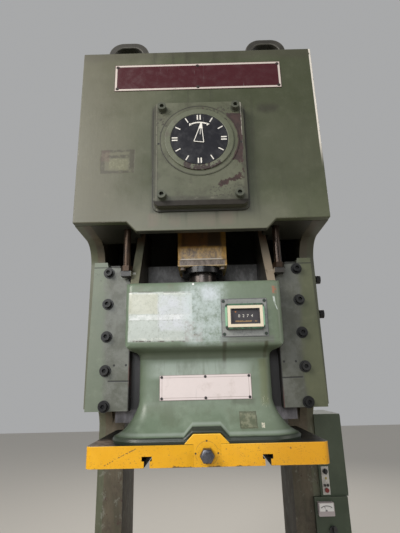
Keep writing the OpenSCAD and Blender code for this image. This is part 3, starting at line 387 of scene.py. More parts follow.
frame_paint = enamel("frame_enamel", OLIVE, OLIVE_LIGHT)
crown_paint = enamel("crown_enamel", CROWN, CROWN_LIGHT, 0.42, gloss=0.4, extra=crown_wear)
crown_edge = enamel("crown_edge_enamel", CROWN, CROWN_LIGHT, 1.25, gloss=0.4, extra=crown_wear)
upright_paint = enamel("upright_enamel", OLIVE, OLIVE_LIGHT, 0.9, 0.7, extra=upright_wear)
# Near-black enamel for the faces under and inside the crown, the guides and the bed: oily, and painted
# darker still as the shade there.
inner_paint = enamel("inner_enamel", (0.016, 0.016, 0.011), (0.04, 0.038, 0.026), 0.3, 0.9)
lug_paint = enamel("lug_enamel", (0.015, 0.014, 0.011), (0.032, 0.029, 0.022), 0.9, 0.8)
# The lugs' rounded edges are lighter: chipped, and a painted highlight.
lug_edge = enamel("lug_edge_enamel", (0.034, 0.033, 0.025), (0.066, 0.062, 0.05), 1.2, 0.6)
dress(inner_paint, "crown_under", "throat_web", "gear_wall", "back_plate", "case_floor")
dress(inner_paint, "bed_top", "bed_rear")
for side in ("left", "right"):
    soften("side_frame_" + side, "frame", 0.004, upright_paint, upright_paint)
dress(upright_paint, "base_rails")
soften("crown_front", "frame", 0.005, crown_paint, crown_edge)
soften("lugs", "frame", 0.006, lug_paint, lug_edge)
dress(frame_paint, "crown_top", "bed_front", "motor_base", "belt_guard")

# Guides and gib plates.
# Cast guide blocks carry bolted gib plates. Their outer halves keep the green
# enamel; the inner halves are rubbed bare by wiping and by the slide's oil.
GIB_EDGE = 0.3445  # the plates' inner edges
JACK_X, JACK_Z = (0.357, 0.411), 1.828  # two jacking holes in each plate
GROOVE_X, GROOVE_Z = (0.342, 0.437), 1.758


def gib_wear(side):
    """The plate's inner half is bare, greasy steel; jacking holes and a scribed groove."""

    def wear(s, colour, chip, rough, height):
        tone = 0.68 if side > 0 else 0.92  # the right plate is darker, partly with oil, partly as painted shade
        dark = tuple(tone * c for c in (0.085, 0.088, 0.07))
        light = tuple(tone * c for c in (0.15, 0.155, 0.138))
        bare = s.rise(abs(s.x) + s.sway(0.13, 7, 6, 0.65, (1, 1, 0.35)), 0.47, 0.436)
        metal = s.mix(s.spots(0.38, 0.62, 15, 8, 0.7), dark, light)
        oil = s.spots(0.52, 0.7, 9, 7, 0.65, (1, 1, 0.3), (2, 2, 2))
        grease = s.spots(0.56, 0.66, 14, 7, 0.7, shift=(8, 1, 3)) * s.rise(s.z, 2.02, 2.2)
        rim = s.rise(abs(s.x), GIB_EDGE + 0.003, GIB_EDGE)
        rust = s.spots(0.5, 0.62, 12, 4, 0.6, (1, 1, 0.3))
        rust = s.mix(rust, (0.012, 0.01, 0.009), (0.075, 0.022, 0.018))
        seam = s.between(s.z, 2.2865, 2.2915, 0.001) * s.rise(abs(s.x), 0.376, 0.384)
        holes = s.dots([(side * x, JACK_Z) for x in JACK_X], 0.0058, 0.0044)
        start, end = (side * x for x in GROOVE_X)
        groove = s.line(start, GROOVE_Z, end, GROOVE_Z + 0.0015, 0.007)
        # A faint painted highlight on the groove's lower lip.
        lip = s.line(start, GROOVE_Z - 0.0035, end, GROOVE_Z - 0.002, 0.0045)
        cut = (seam * 0.8 + holes + groove * 0.85).min(1)
        colour = s.paint(
            colour,
            (bare * 0.88, s.mix(oil * 0.7, metal, (0.045, 0.045, 0.032))),
            (grease * 0.5, (0.03, 0.028, 0.02)),
            (rim * 0.9, rust),
            (lip * 0.08, (0.35, 0.35, 0.32)),
            (cut, (0.008, 0.008, 0.007)),
        )
        height = height + s.noise(60, 5, 0.6) * bare * 0.3 - cut
        return colour, chip * (1 - cut), rough - bare * 0.06, height

    return wear


# The right plate's enamel is darker than the left's: partly oil, partly painted shade for light that falls
# from the left.
for side, way, base, light, runs in (
    ("left", -1, (0.122, 0.148, 0.106), (0.172, 0.196, 0.15), 0.4),
    ("right", 1, (0.056, 0.064, 0.031), (0.086, 0.092, 0.05), 0.55),
):
    gib_paint = enamel("gib_enamel_" + side, base, light, 0.35, runs, extra=gib_wear(way))
    soften("gib_" + side, "frame", 0.003, gib_paint, gib_paint)
    dress(inner_paint, "guide_" + side)

# Blackened fasteners.
# Socket-head bolts in black oxide with plain washers, dull with oil and dust. The
# dial cover's four were brushed over with its paint.


def steel(name, dark, light, rough, metal=0.85, grain=(1, 1, 1), spots=0.3):
    """Machined or blackened steel: fine grain, oil film and small rust spots."""
    s = Shader(name)
    film = s.spots(0.35, 0.7, 9, 6, 0.65)
    line = s.noise(160, 4, 0.6, grain)
    rust = s.spots(0.62, 0.7, 48, 7, 0.7) * spots
    colour = s.paint(s.mix(film * 0.6 + line * 0.4, dark, light), (rust, (0.075, 0.035, 0.018)))
    rough = (rough + 0.18 * film + 0.1 * rust).min(0.95)
    return s.finish(colour, rough, s.bump(line, 0.25, 0.0006), metal - 0.5 * rust)


black_oxide = steel("black_oxide", (0.009, 0.009, 0.01), (0.036, 0.036, 0.035), 0.36, 0.6)
dress(black_oxide, "gib_bolts", "side_fittings")
dress(steel("painted_bolts", (0.045, 0.05, 0.034), (0.095, 0.1, 0.075), 0.42, 0.3), "dial_cover_bolts")

# Slide casting.
# One iron casting in lighter grey-green enamel: a head box over a narrower waist
# that sweeps out into a rounded foot on the flange. Sand-cast, so all edges round.
SLIDE, SLIDE_LIGHT = (0.122, 0.165, 0.112), (0.178, 0.225, 0.168)
WAIST_X, HEAD_X = 0.292, 0.345  # half widths
WAIST_Y, HEAD_Y = AXIS_Y - 0.178, AXIS_Y - 0.262  # fronts
WAIST_R, HEAD_R = 0.04, 0.032  # upright corners
FOOT_Z, SWEEP_Z, SWEEP_H, FLARE = 1.513, 1.535, 0.138, 0.108
SWEEP_POWER = 1.5  # of the foot's curve, where 2 would be a quarter ellipse
SIDE_STEPS, CORNER_STEPS, SWEEP_STEPS = 4, 12, 16
FOOT_BACK, WAIST_BACK, HEAD_BACK = AXIS_Y + 0.238, AXIS_Y - 0.083, AXIS_Y - 0.15
SKIN = 0.0008  # how far the rounded casting stands off the plain solid
CLAMP_HALF, CLAMP_RAMP, CLAMP_RISE = 0.092, 0.034, 0.037  # the lip's step over the clamp block


def block_marks(s, colour, front):
    """Pale worn blocks on the head's left, a white band, ragged rims and a brown patch."""
    fine = s.noise(55, 8, 0.7, shift=(2, 5, 2))
    ragged = s.spots(0.34, 0.5, 10, 8, 0.7, shift=(6, 0, 1))
    whole = s.field(-0.33, -0.05, 1.919, 2.136, 0.003, 0.004) * front
    beige = s.field(-0.33, -0.2, 2.038, 2.128, 0.004, 0.006) * whole
    pale = s.field(-0.196, -0.057, 1.965, 2.118, 0.01, 0.022) * whole
    band = s.field(-0.327, -0.056, 2.012, 2.036, 0.003, 0.006) * front
    top_rim = s.line(-0.33, 2.131, -0.05, 2.125, 0.007) * s.spots(0.36, 0.62, 40, 8, 0.75, shift=(1, 2, 3))
    low_rim = s.field(-0.322, -0.083, 1.922, 1.934, 0.003, 0.003)
    low_rim = low_rim * s.spots(0.42, 0.66, 50, 8, 0.75, shift=(9, 2, 3))
    folds = most(
        s.line(-0.328, 2.0365, -0.056, 2.0345, 0.003),
        s.line(-0.328, 2.0105, -0.056, 2.0085, 0.003),
        s.line(-0.197, 1.925, -0.198, 2.126, 0.003),
    )
    scored = most(
        s.line(-0.33, 2.1385, -0.05, 2.132, 0.0035) * s.spots(0.4, 0.52, 26, 7, 0.7),
        s.line(-0.319, 1.9215, -0.083, 1.9165, 0.0065) * s.spots(0.42, 0.55, 30, 7, 0.7, shift=(4, 4, 1)),
    )
    brown = s.field(-0.082, -0.006, 1.914, 2.004, 0.004, 0.007) * front
    brown_side = s.line(-0.006, 1.912, -0.006, 2.006, 0.003) * front
    dirt = s.spots(0.585, 0.63, 120, 8, 0.85, shift=(4, 4, 4)) * s.spots(0.36, 0.54, 12, 5) * front
    return s.paint(
        colour,
        (whole * (0.45 + ragged * 0.35), s.mix(fine, (0.42, 0.46, 0.43), (0.58, 0.62, 0.6))),
        (beige * 0.6, s.mix(fine, (0.38, 0.38, 0.29), (0.56, 0.55, 0.44))),
        (pale * s.spots(0.22, 0.66, 24, 8, 0.75) * 0.75, (0.56, 0.58, 0.64)),
        (band * s.spots(0.28, 0.66, 34, 7, 0.7, shift=(3, 3, 3)) * 0.75, (0.7, 0.72, 0.72)),
        (most(top_rim, low_rim) * front * 0.7, (0.66, 0.67, 0.62)),
        (folds * s.spots(0.48, 0.58, 90, 6, 0.8, shift=(2, 9, 3)) * front * 0.6, (0.17, 0.17, 0.14)),
        (scored * front * 0.85, (0.075, 0.06, 0.045)),
        (brown * s.spots(0.4, 0.58, 38, 8, 0.72, shift=(5, 1, 5)) * 0.8, (0.235, 0.185, 0.165)),
        (brown * s.spots(0.58, 0.66, 26, 8, 0.72, shift=(1, 1, 5)) * 0.85, (0.09, 0.055, 0.045)),
        (brown_side * 0.6, (0.12, 0.12, 0.09)),
        (dirt * 0.7, (0.11, 0.105, 0.085)),
    )


def head_stains(s, colour, front):
    """A hazy painted sheen and a painted highlight, rust and chips round the counter, painted shadow and
    dirt under it, oil that drips from it, and a bright rivet.
    """
    # A whitish haze painted as the sheen on the middle of the head.
    haze = s.field(-0.085, 0.095, 1.905, 2.165, 0.035, 0.04, 9) * s.spots(0.26, 0.62, 30, 8, 0.75)
    # A painted highlight above the counter.
    painted_highlight = s.rise(s.reach(0.022, 2.132) + s.sway(0.1, 14, 7, 0.7), 0.058, 0.01)
    mottle = s.spots(0.5, 0.68, 70, 8, 0.8, shift=(8, 8, 8))
    top = s.field(-0.31, -0.13, 2.142, 2.172, 0.008, 0.012) * s.spots(0.42, 0.6, 14, 6, 0.65)
    rust = s.field(0.306, 0.327, 2.118, 2.152, 0.003, 0.007, 40) * s.spots(0.42, 0.56, 60, 6, 0.7)
    chips = most(s.line(0.31, 2.105, 0.314, 2.07, 0.0085), s.line(0.314, 2.072, 0.323, 2.046, 0.0045))
    chips = chips * s.spots(0.36, 0.58, 60, 7, 0.75, shift=(2, 2, 8))
    # A painted shadow under the counter, with some dirt.
    below = s.field(0.068, 0.3, 1.906, 1.934, 0.006, 0.004)
    drips = most(
        s.field(0.079, 0.095, 1.8, 1.912, 0.005, 0.006, 14),
        s.field(0.259, 0.274, 1.846, 1.912, 0.005, 0.006, 14),
    )
    return s.paint(
        colour,
        (haze * front * 0.8, (0.46, 0.53, 0.53)),
        (painted_highlight * front * 0.55, (0.58, 0.62, 0.68)),
        (mottle * front * 0.35, (0.1, 0.125, 0.082)),
        (top * front * 0.35, (0.16, 0.13, 0.1)),
        (rust * front * 0.85, (0.32, 0.105, 0.06)),
        (chips * front * 0.8, (0.5, 0.55, 0.52)),
        (below * front * 0.4, (0.12, 0.105, 0.12)),
        (drips * 0.75, (0.04, 0.036, 0.014)),
        (s.dots([(-0.044, 2.169)], 0.0055, 0.004) * front, (0.8, 0.8, 0.78)),
    )


def waist_marks(s, colour):
    """Painted shade under the head, a painted reflection on the top, oily sides, a small worn square, and a
    dark lip, oily and in painted shade, under a roll with a painted highlight.
    """
    waist = s.rise(s.z, 1.848, 1.838)
    # Painted shade on the rounded underside of the head.
    roll = s.between(s.z, 1.846, 1.893, 0.006) * s.rise(s.y, AXIS_Y - 0.1, AXIS_Y - 0.14)
    # A painted reflection in a band across the top of the waist.
    bright = s.between(s.z, 1.768, 1.834, 0.014) * s.rise(abs(s.x + 0.02), 0.265, 0.16)
    sides = s.rise(abs(s.x) + (s.z - 1.7).min(0) * 0.75 + s.sway(0.05, 7, 5), 0.225, 0.3) * waist
    smear = s.spots(0.5, 0.68, 9, 7, 0.65, (1, 1, 0.5), (3, 7, 2)) * waist
    wet = s.spots(0.56, 0.7, 30, 6, 0.65, (1, 1, 0.05)) * waist * s.rise(s.z, 1.62, 1.78)
    square = s.field(0.139, 0.211, 1.561, 1.624, 0.002, 0.006)
    square_tint = s.mix(s.spots(0.4, 0.64, 48, 8, 0.7), (0.072, 0.076, 0.042), (0.21, 0.205, 0.135))
    square_rim = square * (1 - s.field(0.143, 0.207, 1.565, 1.62, 0.0012, 0.005))
    chips = s.field(0.229, 0.24, 1.563, 1.58, 0.002, 0.007, 60) * s.spots(0.4, 0.46, 120, 6, 0.75)
    crumbs = s.field(0.24, 0.272, 1.64, 1.682, 0.006, 0.008, 50)
    crumbs = crumbs * s.spots(0.585, 0.625, 170, 5, 0.75, shift=(2, 2, 5)) * 0.6
    yellowed = s.field(0.238, 0.275, 1.65, 1.85, 0.012, 0.012, 14) * waist
    wiped = s.field(0.11, 0.212, 1.65, 1.676, 0.01, 0.014, 20)
    low = s.z - ((CLAMP_HALF - abs(s.x)) / CLAMP_RAMP).max(0).min(1) * CLAMP_RISE
    # Oil and painted shade on the underside of the foot's lip.
    under = s.rise(low + s.sway(0.003, 12), 1.5395, 1.5355)
    oily = s.rise(abs(s.x - 0.02) + s.sway(0.08, 9, 5), 0.26, 0.37) * s.rise(s.z, 1.7, 1.56)
    return s.paint(
        colour,
        (roll * 0.6, (0.055, 0.066, 0.036)),
        (bright * 0.62, (0.38, 0.44, 0.4)),
        (sides * 0.5, (0.062, 0.08, 0.05)),
        (smear * 0.4, (0.075, 0.09, 0.05)),
        (wet * 0.35, (0.075, 0.085, 0.048)),
        (square * 0.66, square_tint),
        (square_rim * 0.6, (0.05, 0.05, 0.03)),
        (most(chips, crumbs), (0.66, 0.62, 0.5)),
        (yellowed * 0.38, (0.135, 0.14, 0.048)),
        (wiped * 0.45, (0.06, 0.062, 0.04)),
        # a painted highlight on the rolled lip
        (s.between(low, 1.542, 1.552, 0.004) * 0.35, (0.4, 0.45, 0.42)),
        (under * 0.94, (0.011, 0.016, 0.01)),
        (oily * 0.62, (0.028, 0.04, 0.024)),
    )


def bare_parts(s, colour):
    """The parts that the enamel never covered: side walls, rear wall, ears and ways, with painted shade on
    the ears and the upper ways.
    """
    rough_steel = s.spots(0.42, 0.66, 26, 8, 0.7, (1, 1, 0.5))
    rough_steel = s.mix(rough_steel, (0.04, 0.035, 0.031), (0.135, 0.128, 0.122))
    behind = s.rise(s.y, AXIS_Y + 0.118, AXIS_Y + 0.1195) * s.rise(s.z, 2.178, 2.182)
    wall = s.rise(s.z, 2.1815, 2.183) * s.rise(abs(s.x), 0.296, 0.2975)
    beige = s.paint(
        s.mix(s.rise(s.x, -0.1, 0.1), (0.135, 0.135, 0.092), (0.235, 0.195, 0.145)),
        (s.rise(s.z + s.sway(0.14, 22, 7, 0.7), 2.4, 2.47) * 0.75, (0.12, 0.068, 0.038)),
        (s.spots(0.52, 0.66, 30, 7, 0.7, (1, 1, 0.3)) * 0.5, (0.05, 0.042, 0.03)),
    )
    # The ears are painted near black as shade.
    ear = s.rise(s.z, 2.2, 2.21) * s.rise(abs(s.x), 0.3385, 0.3395)
    way = s.rise(s.y, AXIS_Y - 0.087, AXIS_Y - 0.085) * s.rise(abs(s.x), 0.299, 0.301)
    way = way * s.rise(s.z, 2.181, 2.179)
    lilac = s.paint(
        s.mix(s.spots(0.4, 0.62, 16, 7, 0.65, (1, 1, 0.4)), (0.085, 0.078, 0.082), (0.225, 0.208, 0.222)),
        # painted shade on the ways above 1.63 m, between the waist and the gibs
        (s.rise(s.z, 1.628, 1.64), (0.022, 0.02, 0.02)),
    )
    return s.paint(
        colour,
        (behind, rough_steel),
        (wall, (0.03, 0.025, 0.018)),
        (wall * s.between(abs(s.x), 0.2992, 0.3368, 0.0006), beige),
        (ear, (0.016, 0.013, 0.01)),
        (way, lilac),
    )


def slide_wear(s, colour, chip, rough, height):
    """All that years of work left on the slide, with painted light and shade among it."""
    front = s.rise(s.y, AXIS_Y - 0.245, AXIS_Y - 0.256)
    # Darker to the right: painted shade for light that falls from the left, and some oil.
    right_side = s.rise(s.x + s.sway(0.2, 3), 0.02, 0.38)
    colour = s.mix(right_side * 0.3, colour, (0.075, 0.088, 0.048))
    colour = head_stains(s, block_marks(s, colour, front), front)
    colour = bare_parts(s, waist_marks(s, colour))
    return colour, chip * 0.6, rough - 0.04 * front, height


def casting_levels():
    """(height, half width, front, corner radius, back end) from the foot to the head."""

    def flared(spread, z, back=FOOT_BACK):
        return (z, WAIST_X + spread, WAIST_Y - spread, WAIST_R + spread, back)

    lip = ((0.107, FOOT_Z + 0.0005), (0.1095, 1.517), (0.1105, 1.523), (0.11, 1.528), (0.1065, 1.533))
    levels = [flared(*row) for row in lip]
    for step in range(1, SWEEP_STEPS + 1):
        k = math.sin(math.radians(90 * (1 - step / SWEEP_STEPS)))
        spread = FLARE * (1 - (1 - k**SWEEP_POWER) ** (1 / SWEEP_POWER)) + 0.001
        levels.append(flared(spread, SWEEP_Z + SWEEP_H * (1 - k)))
    levels.append(flared(SKIN, 1.76, WAIST_BACK))
    shoulder = (
        (0.0, 1.845), (0.02, 1.86), (0.08, 1.87), (0.2, 1.877), (0.4, 1.8815), (0.58, 1.8845),
        (0.72, 1.8885), (0.85, 1.8955), (0.94, 1.905), (0.985, 1.915), (1.0, 1.927),
    )
    for share, z in shoulder:
        half = WAIST_X + SKIN + share * (HEAD_X - WAIST_X)
        front = WAIST_Y - SKIN + share * (HEAD_Y - WAIST_Y)
        back = WAIST_BACK + min(1, share * 5) * (HEAD_BACK - WAIST_BACK)
        levels.append((z, half, front, WAIST_R + share * (HEAD_R - WAIST_R), back))
    top = (
        (0, 1.99), (0, 2.07), (0, 2.16), (0.0025, 2.17),
        (0.007, 2.177), (0.014, 2.1808), (0.05, 2.1812), (0.105, 2.1812),
    )
    for inset, z in top:
        radius = max(0.006, HEAD_R - inset)
        levels.append((z, HEAD_X + SKIN - inset, HEAD_Y - SKIN + inset, radius, HEAD_BACK))
    return levels


def casting_line(level):
    """The open outline of one level, from the left back round the front to the right back."""
    z, half, front, radius, back = level
    span = half - radius
    run = front + radius - back
    points = [Vector((-half, back + run * i / SIDE_STEPS, z)) for i in range(SIDE_STEPS)]
    for i in range(CORNER_STEPS + 1):
        turn = math.radians(180 + 90 * i / CORNER_STEPS)
        aside, ahead_by = radius * math.cos(turn), radius * math.sin(turn)
        points.append(Vector((-span + aside, front + radius + ahead_by, z)))
    points += [Vector((-share * span, front, z)) for share in (0.9, 0.75, 0.6, 0.45)]
    near_clamp = (0.105, 0.096, 0.09, 0.08, 0.07, 0.06, 0.054, 0.03, 0)
    points += [Vector((-x, front, z)) for x in near_clamp]
    return points + [Vector((-p.x, p.y, p.z)) for p in reversed(points[:-1])]


def over_clamp(p, top=1.62):
    """Lifts the foot's lip over the clamp block, as the casting does."""
    rise = CLAMP_RISE * min(1, max(0, (CLAMP_HALF - abs(p.x)) / CLAMP_RAMP))
    if p.z < top and p.y < AXIS_Y - 0.2:
        p.z += rise * max(0, 1 - (p.z - FOOT_Z) / (top - FOOT_Z))
    return p


shape = bmesh.new()
foot, *higher = casting_levels()
line = [shape.verts.new(p) for p in casting_line(foot)]
edges = [shape.edges.new(pair) for pair in zip(line, line[1:])]
for row in higher:
    grown = bmesh.ops.extrude_edge_only(shape, edges=edges)["geom"]
    fresh = {v for v in grown if isinstance(v, bmesh.types.BMVert)}
    edges = [e for e in grown if isinstance(e, bmesh.types.BMEdge) and fresh.issuperset(e.verts)]
    risen = {e.other_vert(v): v for v in fresh for e in v.link_edges if e.other_vert(v) not in fresh}
    line = [risen[v] for v in line]
    for v, p in zip(line, casting_line(row)):
        v.co = p
for v in shape.verts:
    v.co = over_clamp(v.co.copy())
bmesh.ops.recalc_face_normals(shape, faces=shape.faces)
# It is open at the back, so the line above may turn all of it inwards.
if sum(f.normal.y * f.calc_area() for f in shape.faces) > 0:
    bmesh.ops.reverse_faces(shape, faces=shape.faces)
slide_paint = enamel("slide_enamel", SLIDE, SLIDE_LIGHT, 0.22, 0.32, 0.4, 0.36, extra=slide_wear)
new_piece("slide_casting", shape, "ram", slide_paint, 60)
dress(slide_paint, "slide", "slide_foot")

# Slide flange and shank clamp.
# The machined flange carries the upper die. Its edge is painted warning yellow,
# speckled with chips, its rounded edges lighter as a painted highlight; the top is
# dusty at the left and black behind.
YELLOW, YELLOW_LIGHT = (0.7, 0.345, 0.0), (0.8, 0.415, 0.001)
EDGE_HIGHLIGHT, EDGE_HIGHLIGHT_LIGHT = (0.8, 0.45, 0.02), (0.9, 0.55, 0.06)  # the flange's edges, lighter as a painted highlight
FLANGE_Y, FLANGE_LOW, FLANGE_TOP = AXIS_Y - 0.29, 1.43, 1.511
SLOT_X, SLOT_HALF, SLOT_TOP = 0.237, 0.0203, 1.4725
BOLT_Z, NUT_R = 1.474, 0.0292
RING_X, RING_Z, RING_R = -0.001, 1.479, 0.0445  # the ring scribed round the clamp bolt


def yellow_wear(s, colour, chip, rough, height):
    """Fine dents and chips, a ring scribed round the clamp bolt and drips at the lower edge."""
    shaded = s.rise(s.x + s.sway(0.3, 5, 5), 0.05, 0.34)
    crowded = s.rise(s.noise(8, 5, 0.6, shift=(2, 8, 1)) + s.x * 0.14, 0.34, 0.56)
    speck = s.spots(0.575, 0.62, 130, 8, 0.85) * crowded
    bruise = s.spots(0.62, 0.66, 48, 8, 0.8, shift=(1, 8, 6)) * s.rise(s.z, 1.515, 1.505)
    ring = s.between(s.reach(RING_X, RING_Z), RING_R - 0.0008, RING_R + 0.0007, 0.0006)
    ring = ring * s.spots(0.38, 0.5, 60)
    around = [(RING_X, RING_Z + 0.0455), (RING_X - RING_R, RING_Z), (RING_X + RING_R, RING_Z)]
    scratch = most(s.line(-0.403, 1.442, -0.342, 1.473, 0.004), s.line(-0.342, 1.473, -0.28, 1.501, 0.004))
    scratch = scratch * s.spots(0.48, 0.56, 210, 3, 0.6)
    drips = s.rise(s.z + s.noise(36, 5, 0.65, (1, 1, 0.1)) * 0.03, 1.4485, 1.446)
    drips = drips * s.between(s.x, -0.16, 0.16, 0.03)
    dots = s.dots(around, 0.0046, 0.003)
    marks = most(speck * 0.9, bruise * 0.8, ring * 0.55, dots, scratch * 0.8, drips * 0.85)
    colour = s.paint(
        colour,
        (shaded * 0.5, (0.46, 0.19, 0.001)),
        (s.spots(0.5, 0.72, 24, 7, 0.7, (0.4, 1, 1)) * 0.25, (0.6, 0.26, 0.01)),
        (marks, (0.06, 0.04, 0.018)),
    )
    return colour, chip, rough, height - marks * 0.5


def flange_wear(s, colour, chip, rough, height):
    """A top dusty at the left and black behind, bare steel below, and painted shade black inside the
    T-slots.
    """
    colour, chip, rough, height = yellow_wear(s, colour, chip, rough, height)
    dusty = s.mix(s.spots(0.4, 0.65, 24, 7, 0.65), (0.105, 0.078, 0.062), (0.26, 0.2, 0.165))
    dry = s.rise(s.x + (s.y - FLANGE_Y) * 0.25, -0.355, -0.385) * s.rise(s.y, AXIS_Y - 0.06, AXIS_Y - 0.16)
    # The T-slots are painted black inside, as the shade in them.
    slot = s.rise(abs(abs(s.x) - SLOT_X), SLOT_HALF + 0.0003, SLOT_HALF)
    slot = slot * s.rise(s.z, SLOT_TOP + 0.001, SLOT_TOP)
    slot = slot * s.rise(s.y, FLANGE_Y + 0.0004, FLANGE_Y + 0.0016)
    colour = s.paint(
        colour,
        (s.rise(s.z, FLANGE_TOP + 0.0002, FLANGE_TOP + 0.0015), s.mix(dry, (0.012, 0.011, 0.009), dusty)),
        (s.rise(s.z, FLANGE_LOW + 0.0008, FLANGE_LOW + 0.0002), BARE),
        (slot, (0.006, 0.006, 0.005)),
    )
    return colour, chip * (1 - slot), rough + slot * 0.3, height


clean = (0.06, 0.1, 0.36)  # few runs, little dust, glossy
flange_paint = enamel("flange_enamel", YELLOW, YELLOW_LIGHT, 0.15, *clean, extra=flange_wear)
clamp_paint = enamel("clamp_enamel", YELLOW, YELLOW_LIGHT, 0.15, *clean, extra=yellow_wear)
# The clamp's and flange's rounded edges are lighter yellow, a painted highlight, with more chips.
clamp_edge = enamel("clamp_edge_enamel", (0.84, 0.5, 0.04), (0.92, 0.6, 0.1), 0.3, *clean)
flange_edge = enamel("flange_edge_enamel", EDGE_HIGHLIGHT, EDGE_HIGHLIGHT_LIGHT, 0.5, *clean, extra=flange_wear)


def at_slots(p):
    """Whether a point is in the clamp's bay or at a T-slot, where the flange's edges stay sharp."""
    return abs(p.x) < 0.056 and p.y < FLANGE_Y + 0.09 or abs(abs(p.x) - SLOT_X) < 0.022


soften("slide_flange", "ram", 0.003, flange_paint, flange_edge, at_slots)
soften("shank_clamp", "ram", 0.0025, clamp_paint, clamp_edge, lambda p: p.z < 1.517)
nut = bmesh.new()
facing = Matrix.Rotation(math.radians(90), 4, "X")
flat_side_up = Matrix.Rotation(math.radians(30), 4, "Z")
hexagon = Matrix.Translation((0, FLANGE_Y - 0.018, BOLT_Z)) @ facing @ flat_side_up
bmesh.ops.create_cone(
    nut, cap_ends=True, segments=6, radius1=NUT_R, radius2=NUT_R, depth=0.052, matrix=hexagon
)
tips = [e for e in nut.edges if all(v.co.y < FLANGE_Y - 0.04 for v in e.verts)]
bmesh.ops.bevel(nut, geom=tips, offset=0.007, segments=3, profile=0.5, affect="EDGES", material=-1)
stud_end = Matrix.Translation((0, FLANGE_Y - 0.0415, BOLT_Z)) @ facing
bmesh.ops.create_cone(
    nut, cap_ends=True, segments=24, radius1=0.0165, radius2=0.0145, depth=0.012, matrix=stud_end
)
clamp_steel = steel("clamp_steel", (0.03, 0.03, 0.04), (0.2, 0.2, 0.22), 0.28, spots=0.15)
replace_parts(new_piece("clamp_nut", nut, "ram", clamp_steel, 30), "clamp_bolt")

# Connecting rod, screw and counterbalance rods.
# A yellow-painted rod, brown with oil and rust, clamps the ground adjusting screw.
# The two rods beside it are turned steel that oil has stained brown.
CLAMP_TOP = 2.331  # the bare clamp's upper face
ALONG = (1, 1, 0.1)  # grain drawn out along an upright rod


def rod_wear(s, colour, chip, rough, height):
    """Oil has turned the rod's top brown-black; a rubbed band above the clamp shows gold and steel."""
    scored = s.spots(0.4, 0.6, 60, 8, 0.8, (1, 1, 0.5))
    middle = s.rise(abs(s.x + 0.005) + s.sway(0.02, 20, 6, 0.6), 0.112, 0.094)
    band = middle * s.between(s.z, 2.336, 2.398, 0.006)
    shiny = band * s.spots(0.5, 0.62, 26, 7, 0.75, (0.3, 1, 1)) * s.rise(s.z, 2.385, 2.35)
    clamp = s.rise(s.z, CLAMP_TOP, CLAMP_TOP - 0.001) * s.rise(abs(s.x), 0.118, 0.108)
    dark = s.rise(s.z + s.sway(0.03, 18, 6, 0.7), 2.39, 2.412)
    brown = s.mix(s.spots(0.44, 0.6, 16, 6, 0.65, (1, 1, 0.4)), (0.01, 0.006, 0.004), (0.05, 0.02, 0.006))
    colour = s.paint(
        colour,
        ((1 - middle) * s.spots(0.36, 0.6, 30, 7, 0.7) * 0.75, (0.1, 0.05, 0.006)),
        (band * 0.92, s.mix(scored, (0.5, 0.32, 0.12), (0.17, 0.125, 0.085))),
        (shiny * 0.7, (0.55, 0.52, 0.5)),
        (s.between(s.z, 2.3355, 2.341, 0.001) * middle * 0.75, (0.72, 0.68, 0.6)),
        (clamp * 0.92, s.mix(scored, (0.2, 0.16, 0.14), (0.055, 0.044, 0.04))),
        (s.between(s.z, 2.2995, 2.305, 0.001) * 0.8, (0.5, 0.36, 0.18)),
        (s.between(s.z, CLAMP_TOP - 0.001, 2.3345, 0.0008) * 0.9, (0.012, 0.01, 0.008)),
        (dark * (0.75 + middle * 0.22), brown),
    )
    return colour, chip * 0.5, rough - 0.1, height


rod_paint = enamel("rod_enamel", (0.4, 0.2, 0.012), (0.52, 0.28, 0.02), 0.7, 0.6, extra=rod_wear)
soften("connecting_rod", "rod", 0.004, rod_paint)
soften("rod_clamp", "rod", 0.003, rod_paint)
dress(steel("wet_iron", (0.004, 0.004, 0.005), (0.015, 0.014, 0.014), 0.22, 0.3), "lock_nut")
dress(steel("screw_steel", (0.045, 0.037, 0.034), (0.13, 0.11, 0.1), 0.24, 0.75, ALONG), "adjusting_screw")
dress(steel("brown_rod", (0.008, 0.005, 0.004), (0.05, 0.03, 0.018), 0.22, 0.7, ALONG, 0.6), "balance_rods")

# Dial.
# A bolted cast cover on the crown, its olive enamel chipped to maroon primer, with a
# bezel, a black face with white strokes, and a black pointer outlined in white.
DIAL_Z, FACE_Y, PANEL_Y = 2.862, AXIS_Y - 0.339, AXIS_Y - 0.328
COVER, COVER_LIGHT = (0.07, 0.076, 0.044), (0.102, 0.106, 0.07)
BEZEL, BEZEL_LIGHT = (0.078, 0.086, 0.052), (0.118, 0.124, 0.086)
COVER_X, COVER_Z = 0.2265, 2.799  # half width and middle of the cover's base
PANEL_X, BOSS_R = 0.2065, 0.187  # half width of its raised panel, and the boss on it
MAROON_PRIMER = (0.024, 0.012, 0.01)


